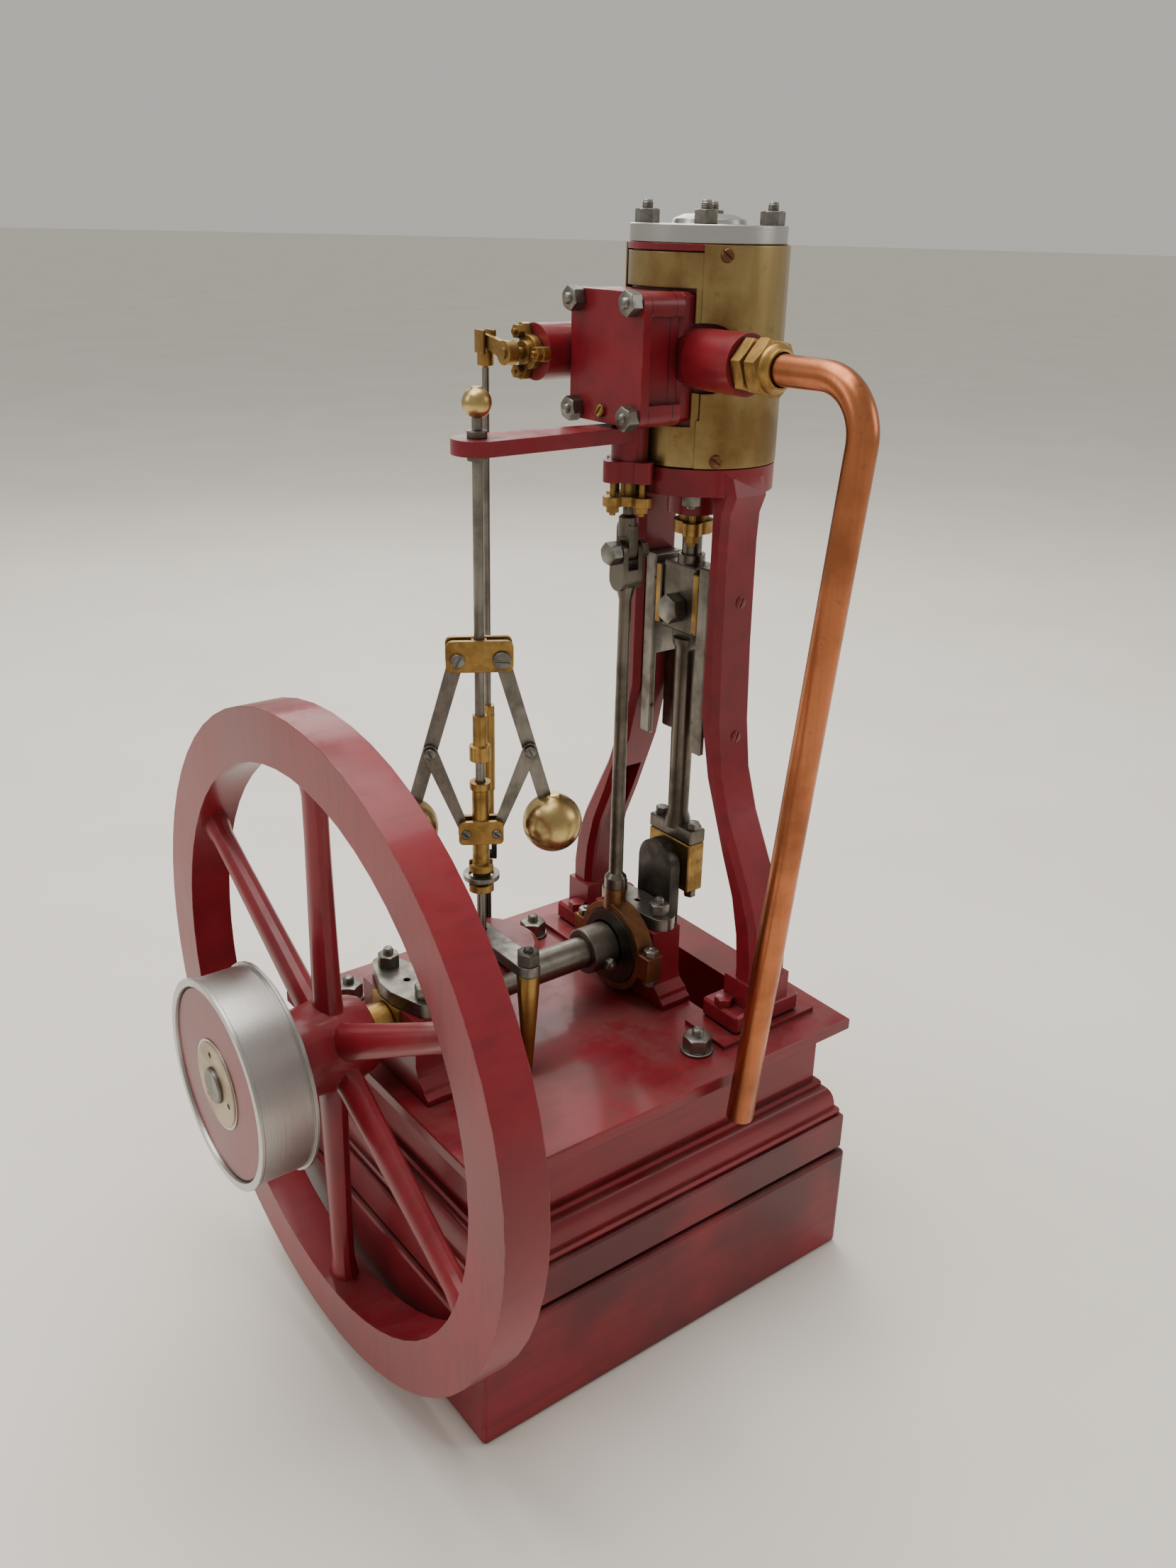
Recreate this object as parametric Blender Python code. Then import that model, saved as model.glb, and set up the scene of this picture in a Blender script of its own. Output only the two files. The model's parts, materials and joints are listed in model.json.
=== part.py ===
"""Vertical single-cylinder steam engine with a flywheel, belt pulley and ball governor.

Sizes are in millimetres here and are turned into metres when a mesh is made.
+X runs along the crankshaft from the belt pulley to the cylinder, +Z is up and the
origin is the middle of the underside of the base.
"""
import math

import bmesh
import bpy
from mathutils import Matrix, Vector

# ---------------------------------------------------------------- driving sizes (mm)
MM = 0.001
GAP = 0.3                 # clearance left between pieces that touch

BASE_X = 135.0            # half length of the plinth
BASE_Y = 115.0            # half width of the plinth
PLINTH_H = 72.0
SLAB_Z = (74.0, 98.5)
SLAB_IN = 2.0             # how far the slab stands in from the plinth
WALL_IN = 17.5            # how far the bedplate wall stands in from the plinth
WALL_Z = 122.5            # top of the moulding, foot of the wall
PLATE_IN = 4.7            # how far the top plate stands in from the plinth
PLATE_T = 8.0
PLATE_TOP = 168.0

SHAFT_Z = 200.5
SHAFT_R = 9.5
CRANK_THROW = 44.5        # half of the 89 mm stroke
ROD_LENGTH = 159.0        # crankpin centre to crosshead pin centre
ROD_X = (76.3, 88.7)

CYL_X = 82.5              # cylinder axis
CYL_R = 38.5
BORE_R = 28.5
CYL_Z = (487.3, 595.5)
COVER_R = 40.5
COVER_T = 8.6
COVER_NUT_R = 32.0
RING_Z = (473.0, 487.0)
RING_R = 42.0

LEG_HALF_X = 14.0
GUIDE_Y = 18.3            # inner face of each slide bar
GUIDE_Z = (322.0, 431.0)

VALVE_X = 35.5
CHEST_X = (17.3, 43.7)
CHEST_Y = 27.5
CHEST_Z = (510.0, 574.5)
ECC_THROW = 3.6
ECC_R = 23.5
KNUCKLE_Z = 441.0

BEARING_IN_X = 53.5
BEARING_OUT_X = -108.0
BEARING_HALF = 11.0
CAP_TOP = 223.0

WHEEL_X = (-167.4, -143.6)
WHEEL_R = 184.0
WHEEL_RIM_R = 155.0
HUB_X = (-187.6, -136.0)
PULLEY_X = (-219.3, -189.0)
PULLEY_R = 55.5

GOV_X = -59.5             # governor spindle axis
GOV_TURN = math.radians(-30.0)
GOV_HEAD_Z = 397.5
GOV_PIVOT = 11.3
GOV_ARM = 53.5            # head pivot to link pivot
GOV_ARM_ANGLE = math.radians(16.3)
GOV_BALL = 98.0           # head pivot to ball centre
GOV_BALL_R = 16.0
GOV_LINK = 49.9
GOV_SLEEVE_PIVOT = 8.2
BEVEL_R = 32.5            # outer radius of the governor's bevel wheel
BEVEL_FACE = 8.0          # tooth length measured along the radius
BEVEL_RATIO = 5.0 / 6.0   # turns of the governor for one turn of the crank
BRIDGE_Z = (233.0, 239.0)
BRIDGE_Y = 45.5

ROD_XY = (-11.5, 66.0)    # throttle rod
FULCRUM_XY = (-32.5, 37.0)
LEVER_Z = 272.8
THROTTLE_Y = 44.5
THROTTLE_Z = 541.0

PIPE_R = 7.5
PIPE_WALL = 0.9

# ---------------------------------------------------------------- scene and materials
for old in list(bpy.data.objects):
    bpy.data.objects.remove(old, do_unlink=True)

COLOURS = {
    "red": ((0.20, 0.012, 0.016, 1.0), 0.32, 0.0),
    "steel": ((0.42, 0.40, 0.38, 1.0), 0.34, 1.0),
    "dark": ((0.10, 0.095, 0.09, 1.0), 0.45, 1.0),
    "brass": ((0.52, 0.36, 0.13, 1.0), 0.36, 1.0),
    "copper": ((0.62, 0.22, 0.08, 1.0), 0.38, 1.0),
}


def material(name, kind):
    """A material of the object's own, coloured by the stuff that it's made of."""
    colour, rough, metal = COLOURS[kind]
    mat = bpy.data.materials.new(name + "_" + kind)
    mat.use_nodes = True
    shader = mat.node_tree.nodes["Principled BSDF"]
    shader.inputs["Base Color"].default_value = colour
    shader.inputs["Roughness"].default_value = rough
    shader.inputs["Metallic"].default_value = metal
    return mat


# ---------------------------------------------------------------- mesh helpers
def make(name, bm, kind, smooth=40.0):
    """Close up a bmesh that is in millimetres and put it in the scene in metres."""
    bmesh.ops.remove_doubles(bm, verts=bm.verts, dist=1e-5)
    bmesh.ops.recalc_face_normals(bm, faces=bm.faces)
    bmesh.ops.scale(bm, vec=(MM, MM, MM), verts=bm.verts)
    mesh = bpy.data.meshes.new(name)
    bm.to_mesh(mesh)
    bm.free()
    mesh.materials.append(material(name, kind))
    if smooth:
        mesh.shade_smooth()
        mesh.set_sharp_from_angle(angle=math.radians(smooth))
    obj = bpy.data.objects.new(name, mesh)
    bpy.context.scene.collection.objects.link(obj)
    return obj


def turned(name, profile, axis, at, kind, seg=32, ring=False, phase=0.0):
    """Revolve (radius, height) points about an axis through `at`."""
    bm = bmesh.new()
    rows = []
    for radius, height in profile:
        row = []
        count = 1 if radius < 1e-6 else seg
        for i in range(count):
            turn = phase + 2 * math.pi * i / seg
            u = radius * math.cos(turn)
            v = radius * math.sin(turn)
            point = {"Z": (u, v, height), "X": (height, u, v), "Y": (u, height, v)}[axis]
            row.append(bm.verts.new(Vector(point) + Vector(at)))
        rows.append(row)
    if ring:
        rows.append(rows[0])
    for low, high in zip(rows, rows[1:]):
        for i in range(seg):
            j = (i + 1) % seg
            if len(low) == 1 and len(high) == 1:
                continue
            if len(low) == 1:
                bm.faces.new((low[0], high[i], high[j]))
            elif len(high) == 1:
                bm.faces.new((low[i], low[j], high[0]))
            else:
                bm.faces.new((low[i], low[j], high[j], high[i]))
    return make(name, bm, kind)


def rod_z(name, radius, z0, z1, xy, kind, seg=24):
    return turned(name, [(0, z0), (radius, z0), (radius, z1), (0, z1)], "Z",
                  (xy[0], xy[1], 0), kind, seg)


def rod_x(name, radius, x0, x1, yz, kind, seg=24):
    return turned(name, [(0, x0), (radius, x0), (radius, x1), (0, x1)], "X",
                  (0, yz[0], yz[1]), kind, seg)


def rod_y(name, radius, y0, y1, xz, kind, seg=24):
    return turned(name, [(0, y0), (radius, y0), (radius, y1), (0, y1)], "Y",
                  (xz[0], 0, xz[1]), kind, seg)


def hexagon(name, flats, a0, a1, axis, at, kind, turn=0.0):
    """A hexagonal prism measured across its flats."""
    radius = flats / math.sqrt(3.0)
    return turned(name, [(0, a0), (radius, a0), (radius, a1), (0, a1)], axis, at, kind, 6,
                  phase=turn)


def prism(name, points, axis, a0, a1, kind, smooth=40.0):
    """Extrude a flat outline along an axis from a0 to a1."""
    bm = bmesh.new()
    order = {"X": lambda p, a: (a, p[0], p[1]), "Y": lambda p, a: (p[0], a, p[1]),
             "Z": lambda p, a: (p[0], p[1], a)}[axis]
    low = [bm.verts.new(order(p, a0)) for p in points]
    high = [bm.verts.new(order(p, a1)) for p in points]
    bm.faces.new(low)
    bm.faces.new(high)
    for i in range(len(points)):
        j = (i + 1) % len(points)
        bm.faces.new((low[i], low[j], high[j], high[i]))
    return make(name, bm, kind, smooth)


def box(name, x, y, z, kind, bevel=0.0):
    """A box from three (low, high) pairs, with its edges bevelled by a modifier."""
    points = [(x[0], y[0]), (x[1], y[0]), (x[1], y[1]), (x[0], y[1])]
    obj = prism(name, points, "Z", z[0], z[1], kind)
    if bevel:
        mod = obj.modifiers.new("edges", "BEVEL")
        mod.width = bevel * MM
        mod.segments = 1
        mod.limit_method = "ANGLE"
        settle(obj)
    return obj


def settle(obj):
    """Bake an object's modifiers into its mesh."""
    graph = bpy.context.evaluated_depsgraph_get()
    mesh = bpy.data.meshes.new_from_object(obj.evaluated_get(graph))
    obj.modifiers.clear()
    obj.data = mesh
    return obj


def combine(obj, others, operation="UNION"):
    """Join or cut an object with helper solids, which are then taken away."""
    for other in others:
        mod = obj.modifiers.new("join", "BOOLEAN")
        mod.operation = operation
        mod.solver = "EXACT"
        mod.object = other
        settle(obj)
        bpy.data.objects.remove(other, do_unlink=True)
    mesh = obj.data
    bm = bmesh.new()
    bm.from_mesh(mesh)
    bmesh.ops.remove_doubles(bm, verts=bm.verts, dist=2e-6)
    bmesh.ops.dissolve_degenerate(bm, edges=bm.edges, dist=2e-6)
    bm.to_mesh(mesh)
    bm.free()
    mesh.shade_smooth()
    mesh.set_sharp_from_angle(angle=math.radians(40.0))
    kept = mesh.materials[0]
    mesh.materials.clear()
    mesh.materials.append(kept)
    for face in mesh.polygons:
        face.material_index = 0
    return obj


def cut(obj, others):
    return combine(obj, others, "DIFFERENCE")


def arc(cx, cy, radius, start, end, count):
    """Points along an arc, angles in degrees."""
    out = []
    for i in range(count + 1):
        turn = math.radians(start + (end - start) * i / count)
        out.append((cx + radius * math.cos(turn), cy + radius * math.sin(turn)))
    return out


def rounded(x0, x1, y0, y1, radius, count=4):
    """Outline of a rectangle with round corners."""
    return (arc(x1 - radius, y0 + radius, radius, -90, 0, count)
            + arc(x1 - radius, y1 - radius, radius, 0, 90, count)
            + arc(x0 + radius, y1 - radius, radius, 90, 180, count)
            + arc(x0 + radius, y0 + radius, radius, 180, 270, count))


def capsule(p, q, rp, rq, count=7):
    """Outline round two circles, as on a link or a lever."""
    dx = q[0] - p[0]
    dy = q[1] - p[1]
    length = math.hypot(dx, dy)
    heading = math.degrees(math.atan2(dy, dx))
    lean = math.degrees(math.asin((rp - rq) / length))
    return (arc(q[0], q[1], rq, heading - 90 + lean, heading + 90 - lean, count)
            + arc(p[0], p[1], rp, heading + 90 - lean, heading + 270 + lean, count))


def lobed(cx, cy, centres, lobe_r, core_r, count=4):
    """Outline of a gland flange: a round core with ears at the bolt centres."""
    points = []
    for i in range(12 * count):
        turn = 2 * math.pi * i / (12 * count)
        ux = math.cos(turn)
        uy = math.sin(turn)
        reach = core_r
        for ex, ey in centres:
            along = ex * ux + ey * uy
            off2 = ex * ex + ey * ey - along * along
            if off2 < lobe_r * lobe_r and along > 0:
                reach = max(reach, along + math.sqrt(lobe_r * lobe_r - off2))
        points.append((cx + reach * ux, cy + reach * uy))
    return points


def placed(obj, matrix):
    """Move a mesh that was made at the origin to its place in the assembly."""
    shift = matrix.copy()
    shift.translation = shift.translation * MM
    obj.data.transform(shift)
    return obj


def put_origin(obj, point):
    """Put an object's origin on its joint axis without moving its shape."""
    spot = Vector(point) * MM
    obj.data.transform(Matrix.Translation(-spot))
    obj.location = spot
    return obj


def stud(name, x, y, z0, flats, nut_h, stud_r, stud_h, kind="steel", washer=0.0):
    """A nut on a stud, standing on the face at z0, as one solid."""
    radius = flats / math.sqrt(3.0)
    profile = [(0, z0), (radius, z0), (radius, z0 + nut_h), (0, z0 + nut_h)]
    body = turned(name, profile, "Z", (x, y, 0), kind, 6)
    parts = [rod_z("t", stud_r, z0 + nut_h * 0.5, z0 + nut_h + stud_h, (x, y), kind, 8)]
    if washer:
        parts.append(rod_z("t", washer, z0, z0 + 1.2, (x, y), kind, 14))
    return combine(body, parts)


# ---------------------------------------------------------------- base
plinth = box("plinth", (-BASE_X, BASE_X), (-BASE_Y, BASE_Y), (0, PLINTH_H), "red")
mod = plinth.modifiers.new("top_edge", "BEVEL")
mod.width = 2.5 * MM
mod.segments = 2
mod.limit_method = "ANGLE"
settle(plinth)
tongue_x = BASE_X - 6.0
tongue_y = BASE_Y - 6.0
combine(plinth, [box("t", (-tongue_x, tongue_x), (-tongue_y, tongue_y),
                     (PLINTH_H - 3, SLAB_Z[0] - GAP), "red")])

slab_x = BASE_X - SLAB_IN
slab_y = BASE_Y - SLAB_IN
slab = box("base_slab", (-slab_x, slab_x), (-slab_y, slab_y), SLAB_Z, "red", 1.2)


def moulded_base():
    """The bedplate: a moulding, a plain wall and an overhanging top plate."""
    wall_x = BASE_X - WALL_IN
    wall_y = BASE_Y - WALL_IN
    z0 = SLAB_Z[1] + GAP
    foot = slab_x - 3.0 - wall_x
    lip = BASE_X - PLATE_IN - wall_x
    rise = WALL_Z - z0
    section = [(foot, z0), (foot + 0.6, z0 + 2.2), (foot, z0 + 4.2), (foot - 2.0, z0 + 4.8)]
    for i in range(1, 7):
        turn = math.radians(90 * i / 6)
        section.append((foot - 2.0 - (foot - 5.6) * (1 - math.cos(turn)) - 0.3 * i / 6,
                        z0 + 4.8 + (rise - 9.0) * math.sin(turn)))
    section += [(3.6, WALL_Z - 3.8), (3.9, WALL_Z - 2.0), (3.0, WALL_Z - 0.4), (0.0, WALL_Z)]
    under = PLATE_TOP - PLATE_T
    section += [(0.0, under - 5.0), (lip * 0.55, under - 3.0), (lip * 0.62, under - 1.2),
                (lip - 1.4, under), (lip, under + 0.8), (lip, PLATE_TOP - 0.8),
                (lip - 0.8, PLATE_TOP)]
    bm = bmesh.new()
    rows = []
    for out, z in section:
        corners = [(-wall_x - out, -wall_y - out), (wall_x + out, -wall_y - out),
                   (wall_x + out, wall_y + out), (-wall_x - out, wall_y + out)]
        rows.append([bm.verts.new((x, y, z)) for x, y in corners])
    bm.faces.new(rows[0])
    bm.faces.new(rows[-1])
    for low, high in zip(rows, rows[1:]):
        for i in range(4):
            j = (i + 1) % 4
            bm.faces.new((low[i], low[j], high[j], high[i]))
    return make("bedplate", bm, "red", 30.0)


bedplate = moulded_base()
PIT_X = (CYL_X - 18.5, CYL_X + 19.0)
PIT_Y = 54.5
PIT_FLOOR = SHAFT_Z - CRANK_THROW - 36.0
pit = box("t", PIT_X, (-PIT_Y, PIT_Y), (PIT_FLOOR, PLATE_TOP + 5), "red")
pit_rear = box("t", (CYL_X - 7.0, CYL_X + 7.0), (PIT_Y - 5, 70.5), (PIT_FLOOR + 12, PLATE_TOP + 5), "red")
pads = []
PAD_Y = (BASE_Y - 57.0, BASE_Y - 23.0)
PAD_TOP = PLATE_TOP + 3.0
for side in (-1, 1):
    y_pair = sorted((side * PAD_Y[0], side * PAD_Y[1]))
    pads.append(box("t", (CYL_X - 37.5, CYL_X + 35.0), y_pair, (PLATE_TOP - 2, PAD_TOP), "red"))
combine(bedplate, pads)
cut(bedplate, [pit, pit_rear])

NUT_X = (-102.5, 33.0)
NUT_Y = 82.0
count = 0
for nx in NUT_X:
    for side in (-1, 1):
        count += 1
        stud("holding_down_nut_%d" % count, nx, side * NUT_Y, PLATE_TOP + GAP, 14.5, 8.5, 3.2,
             6.0, washer=9.5)

# ---------------------------------------------------------------- column
LEG_OUTER = [(46.8, 486), (44.5, 473), (40.6, 463), (39.8, 447), (40.6, 390), (42.6, 345),
             (46.5, 318), (55.0, 294), (66.0, 273), (77.0, 252), (84.0, 234), (87.0, 213),
             (87.0, 190)]
LEG_INNER = [(70.5, 190), (70.0, 208), (68.0, 226), (62.5, 248), (52.5, 271), (43.5, 294),
             (36.2, 313), (32.0, 331), (27.8, 350), (27.5, 465), (23.0, 476)]
FOOT_TOP = PAD_TOP + GAP + 12.0
FOOT_Y = (BASE_Y - 56.5, BASE_Y - 27.0)


def column():
    """Two curved legs under a round flange, with a bolted foot on each."""
    ring = turned("column", [(16.5, RING_Z[0]), (RING_R, RING_Z[0]), (RING_R, RING_Z[1]),
                             (16.5, RING_Z[1])], "Z", (CYL_X, 0, 0), "red", 48, ring=True)
    bits = []
    for side in (-1, 1):
        outline = [(side * y, z) for y, z in LEG_OUTER + LEG_INNER]
        outline[0] = (side * 40.0, RING_Z[1] - 1.5)
        leg = prism("t", outline, "X", CYL_X - LEG_HALF_X, CYL_X + LEG_HALF_X, "red")
        mod = leg.modifiers.new("edges", "BEVEL")
        mod.width = 3.4 * MM
        mod.segments = 1
        mod.limit_method = "ANGLE"
        mod.angle_limit = math.radians(50)
        settle(leg)
        bits.append(leg)
        y_pair = sorted((side * FOOT_Y[0], side * FOOT_Y[1]))
        bits.append(box("t", (CYL_X - 25.5, CYL_X + 25.5), y_pair, (PAD_TOP + GAP, FOOT_TOP),
                        "red", 1.5))
        y_mid = sorted((side * (FOOT_Y[0] + 8), side * (FOOT_Y[1] - 0.8)))
        bits.append(box("t", (CYL_X - 16, CYL_X + 16), y_mid, (FOOT_TOP - 2, 200), "red"))
        for bx in (-1, 1):
            bits.append(hexagon("t", 9.5, FOOT_TOP - 1, FOOT_TOP + 4.5, "Z",
                                (CYL_X + bx * 20.5, side * (FOOT_Y[0] + 13.5), 0), "red", 0.4))
    combine(ring, bits)
    half = (ROD_X[1] - ROD_X[0]) / 2 + 0.7
    mid = (ROD_X[0] + ROD_X[1]) / 2
    relief = []
    for side in (-1, 1):
        low = 69.5 if side > 0 else 60.0
        outline = [(side * 20.0, 175.0 if side < 0 else 160.0), (side * low, 175.0 if side < 0 else 160.0),
                   (side * low, 205.0), (side * 69.5, 212.0), (side * 69.3, 238.0), (side * 58.2, 280.5),
                   (side * 55.0, 285.5), (side * 44.0, 291.0), (side * 20.0, 291.0)]
        relief.append(prism("t", outline, "X", mid - half, mid + half, "red"))
    return cut(ring, relief)


column()

for side, tag in ((-1, "front"), (1, "rear")):
    y_pair = sorted((side * GUIDE_Y, side * (27.5 - GAP)))
    bar = box("slide_bar_" + tag, (CYL_X - 10.5, CYL_X + 10.5), y_pair, GUIDE_Z, "steel", 0.8)
    cut(bar, [box("t", (CYL_X - 7.5, CYL_X + 7.5), (-40, 40), (GUIDE_Z[0] - 5, GUIDE_Z[0] + 50), "steel")])

# ---------------------------------------------------------------- cylinder and steam chest
cyl_top = CYL_Z[1]
cylinder = turned("cylinder", [
    (BORE_R, CYL_Z[0] + 8), (BORE_R, cyl_top), (41.2, cyl_top), (41.2, cyl_top - 3.2),
    (CYL_R, cyl_top - 3.2), (CYL_R, CYL_Z[0]), (15.0, CYL_Z[0]), (15.0, 458.0), (6.2, 458.0),
    (6.2, CYL_Z[0] + 8)], "Z", (CYL_X, 0, 0), "red", 40, ring=True)
PORT_X = (CHEST_X[1] + GAP, CYL_X - 20.0)
port = box("t", (PORT_X[0], PORT_X[1]), (-26.0, 26.0), (CHEST_Z[0] + 1, CHEST_Z[1] - 1), "red", 2.0)
bore = rod_z("t", BORE_R, CYL_Z[0] + 8.5, cyl_top - 1.0, (CYL_X, 0), "red", 40)
cut(port, [bore])
EXH_X = 55.5
EXH_Z = THROTTLE_Z + 1.0
boss = rod_y("t", 15.0, -64.0, -22.0, (EXH_X, EXH_Z), "red", 28)
cut(boss, [rod_z("t2", CYL_R - 3.0, 480, 600, (CYL_X, 0), "red", 32),
           box("t3", (20.0, CHEST_X[1] + GAP), (-30.5, 0.0), (500.0, 590.0), "red")])
combine(cylinder, [port, boss])
cut(cylinder, [rod_y("t", 4.5, -70.0, -40.0, (EXH_X, EXH_Z), "red", 16)])

cover_z = cyl_top + GAP
cover_top = cover_z + COVER_T
cover = turned("cylinder_cover", [
    (0, cover_z), (COVER_R, cover_z), (COVER_R, cover_top - 0.5), (COVER_R - 0.5, cover_top),
    (19.5, cover_top), (18.5, cover_top + 2.4), (13.0, cover_top + 4.6), (0, cover_top + 5.2)],
    "Z", (CYL_X, 0, 0), "steel", 44)
cover_nuts = []
for i in range(4):
    turn = math.radians(45 + 90 * i)
    cx = CYL_X + COVER_NUT_R * math.cos(turn)
    cy = COVER_NUT_R * math.sin(turn)
    cover_nuts.append(hexagon("t", 10.5, cover_top - 0.5, cover_top + 6.5, "Z", (cx, cy, 0), "steel",
                              turn))
    cover_nuts.append(rod_z("t", 2.4, cover_top + 5, cover_top + 11.0, (cx, cy), "steel", 8))
combine(cover, cover_nuts)


def sheet(name, inner, outer, start, end, z0, z1, windows):
    """A curved sheet round the cylinder between two angles."""
    outline = arc(CYL_X, 0, outer, start, end, 30) + arc(CYL_X, 0, inner, end, start, 30)
    obj = prism(name, outline, "Z", z0, z1, "brass")
    return cut(obj, windows) if windows else obj


front_win = rod_y("t", 17.0, -60.0, 0.0, (EXH_X, EXH_Z), "brass", 28)
port_win = box("t", (0, CYL_X - 8), (-27.0, 27.0), (CHEST_Z[0] - 1.7, CHEST_Z[1] + 0.5), "brass")
sheet("cladding_front", 41.5, 42.3, -134, 134, CYL_Z[0] + 0.4, cyl_top - 0.3,
      [front_win, box("t", (0, CYL_X - 28), (-44, -20), (EXH_Z - 30, EXH_Z + 17), "brass")])
sheet("cladding_rear", 39.9, 40.7, 126, 234, CYL_Z[0] + 0.4, cyl_top - 4.0,
      [port_win, rod_y("t", 17.0, -60.0, 0.0, (EXH_X, EXH_Z), "brass", 24)])

y_stud = 25.0
z_stud = (514.5, 568.5)


def chest_outline(edge, lobe):
    """A plate outline with rounded ears at the four studs."""
    z_mid = (z_stud[0] + z_stud[1]) / 2
    half = (z_stud[1] - z_stud[0]) / 2
    points = []
    for sy, sz, first in ((1, 1, -20), (-1, 1, 70), (-1, -1, 160), (1, -1, 250)):
        for y, z in arc(sy * (y_stud - 2.0), z_mid + sz * (half - 1.2), lobe, first, first + 130, 6):
            points.append((y, z))
    return points


body_x = (CHEST_X[0] + 5.2 + GAP, CHEST_X[1])
chest = prism("steam_chest", chest_outline(0, 6.4), "X", body_x[0], body_x[1], "red")
side_cut = []
for side in (-1, 1):
    y_pair = sorted((side * 24.4, side * 40))
    side_cut.append(box("t", body_x, y_pair, (z_stud[0] + 6, z_stud[1] - 6), "red"))
neck_z = 479.0
cut(chest, side_cut)
hollow = box("t", (body_x[0] - 3, body_x[1] - 4), (-18, 18), (CHEST_Z[0] + 9, CHEST_Z[1] - 9), "red")
neck = rod_z("t", 10.0, neck_z + 4, CHEST_Z[0] + 6, (VALVE_X, 0), "red", 28)
ears = [(15.0 * math.cos(math.radians(a)), 15.0 * math.sin(math.radians(a)))
        for a in (-90, 90, 180)]
neck_flange = prism("t", lobed(VALVE_X, 0, [(e[0] * 0.72, e[1] * 0.72) for e in ears], 5.6, 11.0),
                    "Z", neck_z, neck_z + 11.0, "red")
cut(neck, [rod_z("t2", CYL_R + 2 * GAP, 480.0, 520.0, (CYL_X, 0), "red", 40)])
combine(chest, [neck, neck_flange])
cut(chest, [hollow, rod_z("t", 3.3, neck_z - 1, CHEST_Z[0] + 12, (VALVE_X, 0), "red", 20)])

gland = prism("valve_gland", lobed(VALVE_X, 0, [(e[0] * 0.72, e[1] * 0.72) for e in ears], 5.4,
                                   9.6), "Z", 466.5, 471.5, "brass")
studs = []
for ex, ey in ears:
    spot = (VALVE_X + ex * 0.72, ey * 0.72)
    studs.append(rod_z("t", 1.7, 461.5, neck_z - GAP, spot, "brass", 10))
    studs.append(hexagon("t", 6.4, 463.2, 466.8, "Z", (spot[0], spot[1], 0), "brass"))
combine(gland, studs + [rod_z("t", 4.6, 470.0, neck_z - GAP, (VALVE_X, 0), "brass", 20)])
cut(gland, [rod_z("t", 3.3, 460, neck_z + 1, (VALVE_X, 0), "brass", 20)])

piston_ears = [(11.5 * math.cos(math.radians(a)), 11.5 * math.sin(math.radians(a)))
               for a in (-135, 45)]
piston_gland = prism("piston_gland", lobed(CYL_X, 0, piston_ears, 5.4, 11.0), "Z", 446.5, 453.5,
                     "brass")
studs = []
for ex, ey in piston_ears:
    spot = (CYL_X + ex, ey)
    studs.append(rod_z("t", 1.9, 440.5, 457.7, spot, "brass", 10))
    studs.append(hexagon("t", 7.0, 442.4, 446.8, "Z", (spot[0], spot[1], 0), "brass"))
combine(piston_gland, studs + [rod_z("t", 8.5, 452.0, 457.7, (CYL_X, 0), "brass", 20)])
cut(piston_gland, [rod_z("t", 6.2, 435, 460, (CYL_X, 0), "brass", 20)])

chest_cover = prism("steam_chest_cover", chest_outline(0, 6.6), "X", CHEST_X[0], CHEST_X[0] + 5.2,
                    "red")
cover_bits = []
for side in (-1, 1):
    for z in z_stud:
        y = side * (y_stud - 2.0)
        cover_bits.append(hexagon("t", 10.5, CHEST_X[0] - 6.2, CHEST_X[0] + 0.5, "X", (0, y, z),
                                  "steel", 0.3))
        cover_bits.append(rod_x("t", 2.4, CHEST_X[0] - 8.4, CHEST_X[0] - 5.5, (y, z), "steel", 12))
cover_bits.append(rod_x("t", 3.0, CHEST_X[0] - 1.4, CHEST_X[0] + 1, (2.0, z_stud[0] + 1), "steel", 14))
combine(chest_cover, cover_bits)

# ---------------------------------------------------------------- exhaust pipe
union = turned("pipe_union", [
    (5.0, -64 - GAP), (12.6, -64 - GAP), (12.6, -71.0), (10.4, -72.0), (10.4, -73.5), (13.2, -74.5),
    (13.2, -82.0), (9.6, -84.0), (9.6, -87.0), (PIPE_R + 0.3, -87.0), (PIPE_R + 0.3, -76.0),
    (5.0, -76.0)], "Y", (EXH_X, 0, EXH_Z), "brass", 18, ring=True)


def pipe_path():
    """The pipe leaves along -Y, bends down and runs in a long slanting straight."""
    end = Vector((30.0, -123.0, 148.0))
    corner = Vector((EXH_X, -143.5, EXH_Z))
    start = Vector((EXH_X, -76.6, EXH_Z))
    down = (end - corner).normalized()
    along = (corner - start).normalized()
    turn = math.acos(max(-1, min(1, along.dot(down))))
    bend = 27.0
    back = bend * math.tan(turn / 2)
    first = corner - along * back
    inward = (down - along * along.dot(down)).normalized()
    centre = first + inward * bend
    points = [start, start.lerp(first, 0.5), first]
    for i in range(1, 8):
        a = turn * i / 8
        points.append(centre + (-inward * math.cos(a) + along * math.sin(a)) * bend)
    points.append(corner + down * back)
    points.append((corner + down * back).lerp(end, 0.5))
    points.append(end)
    return points


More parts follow.
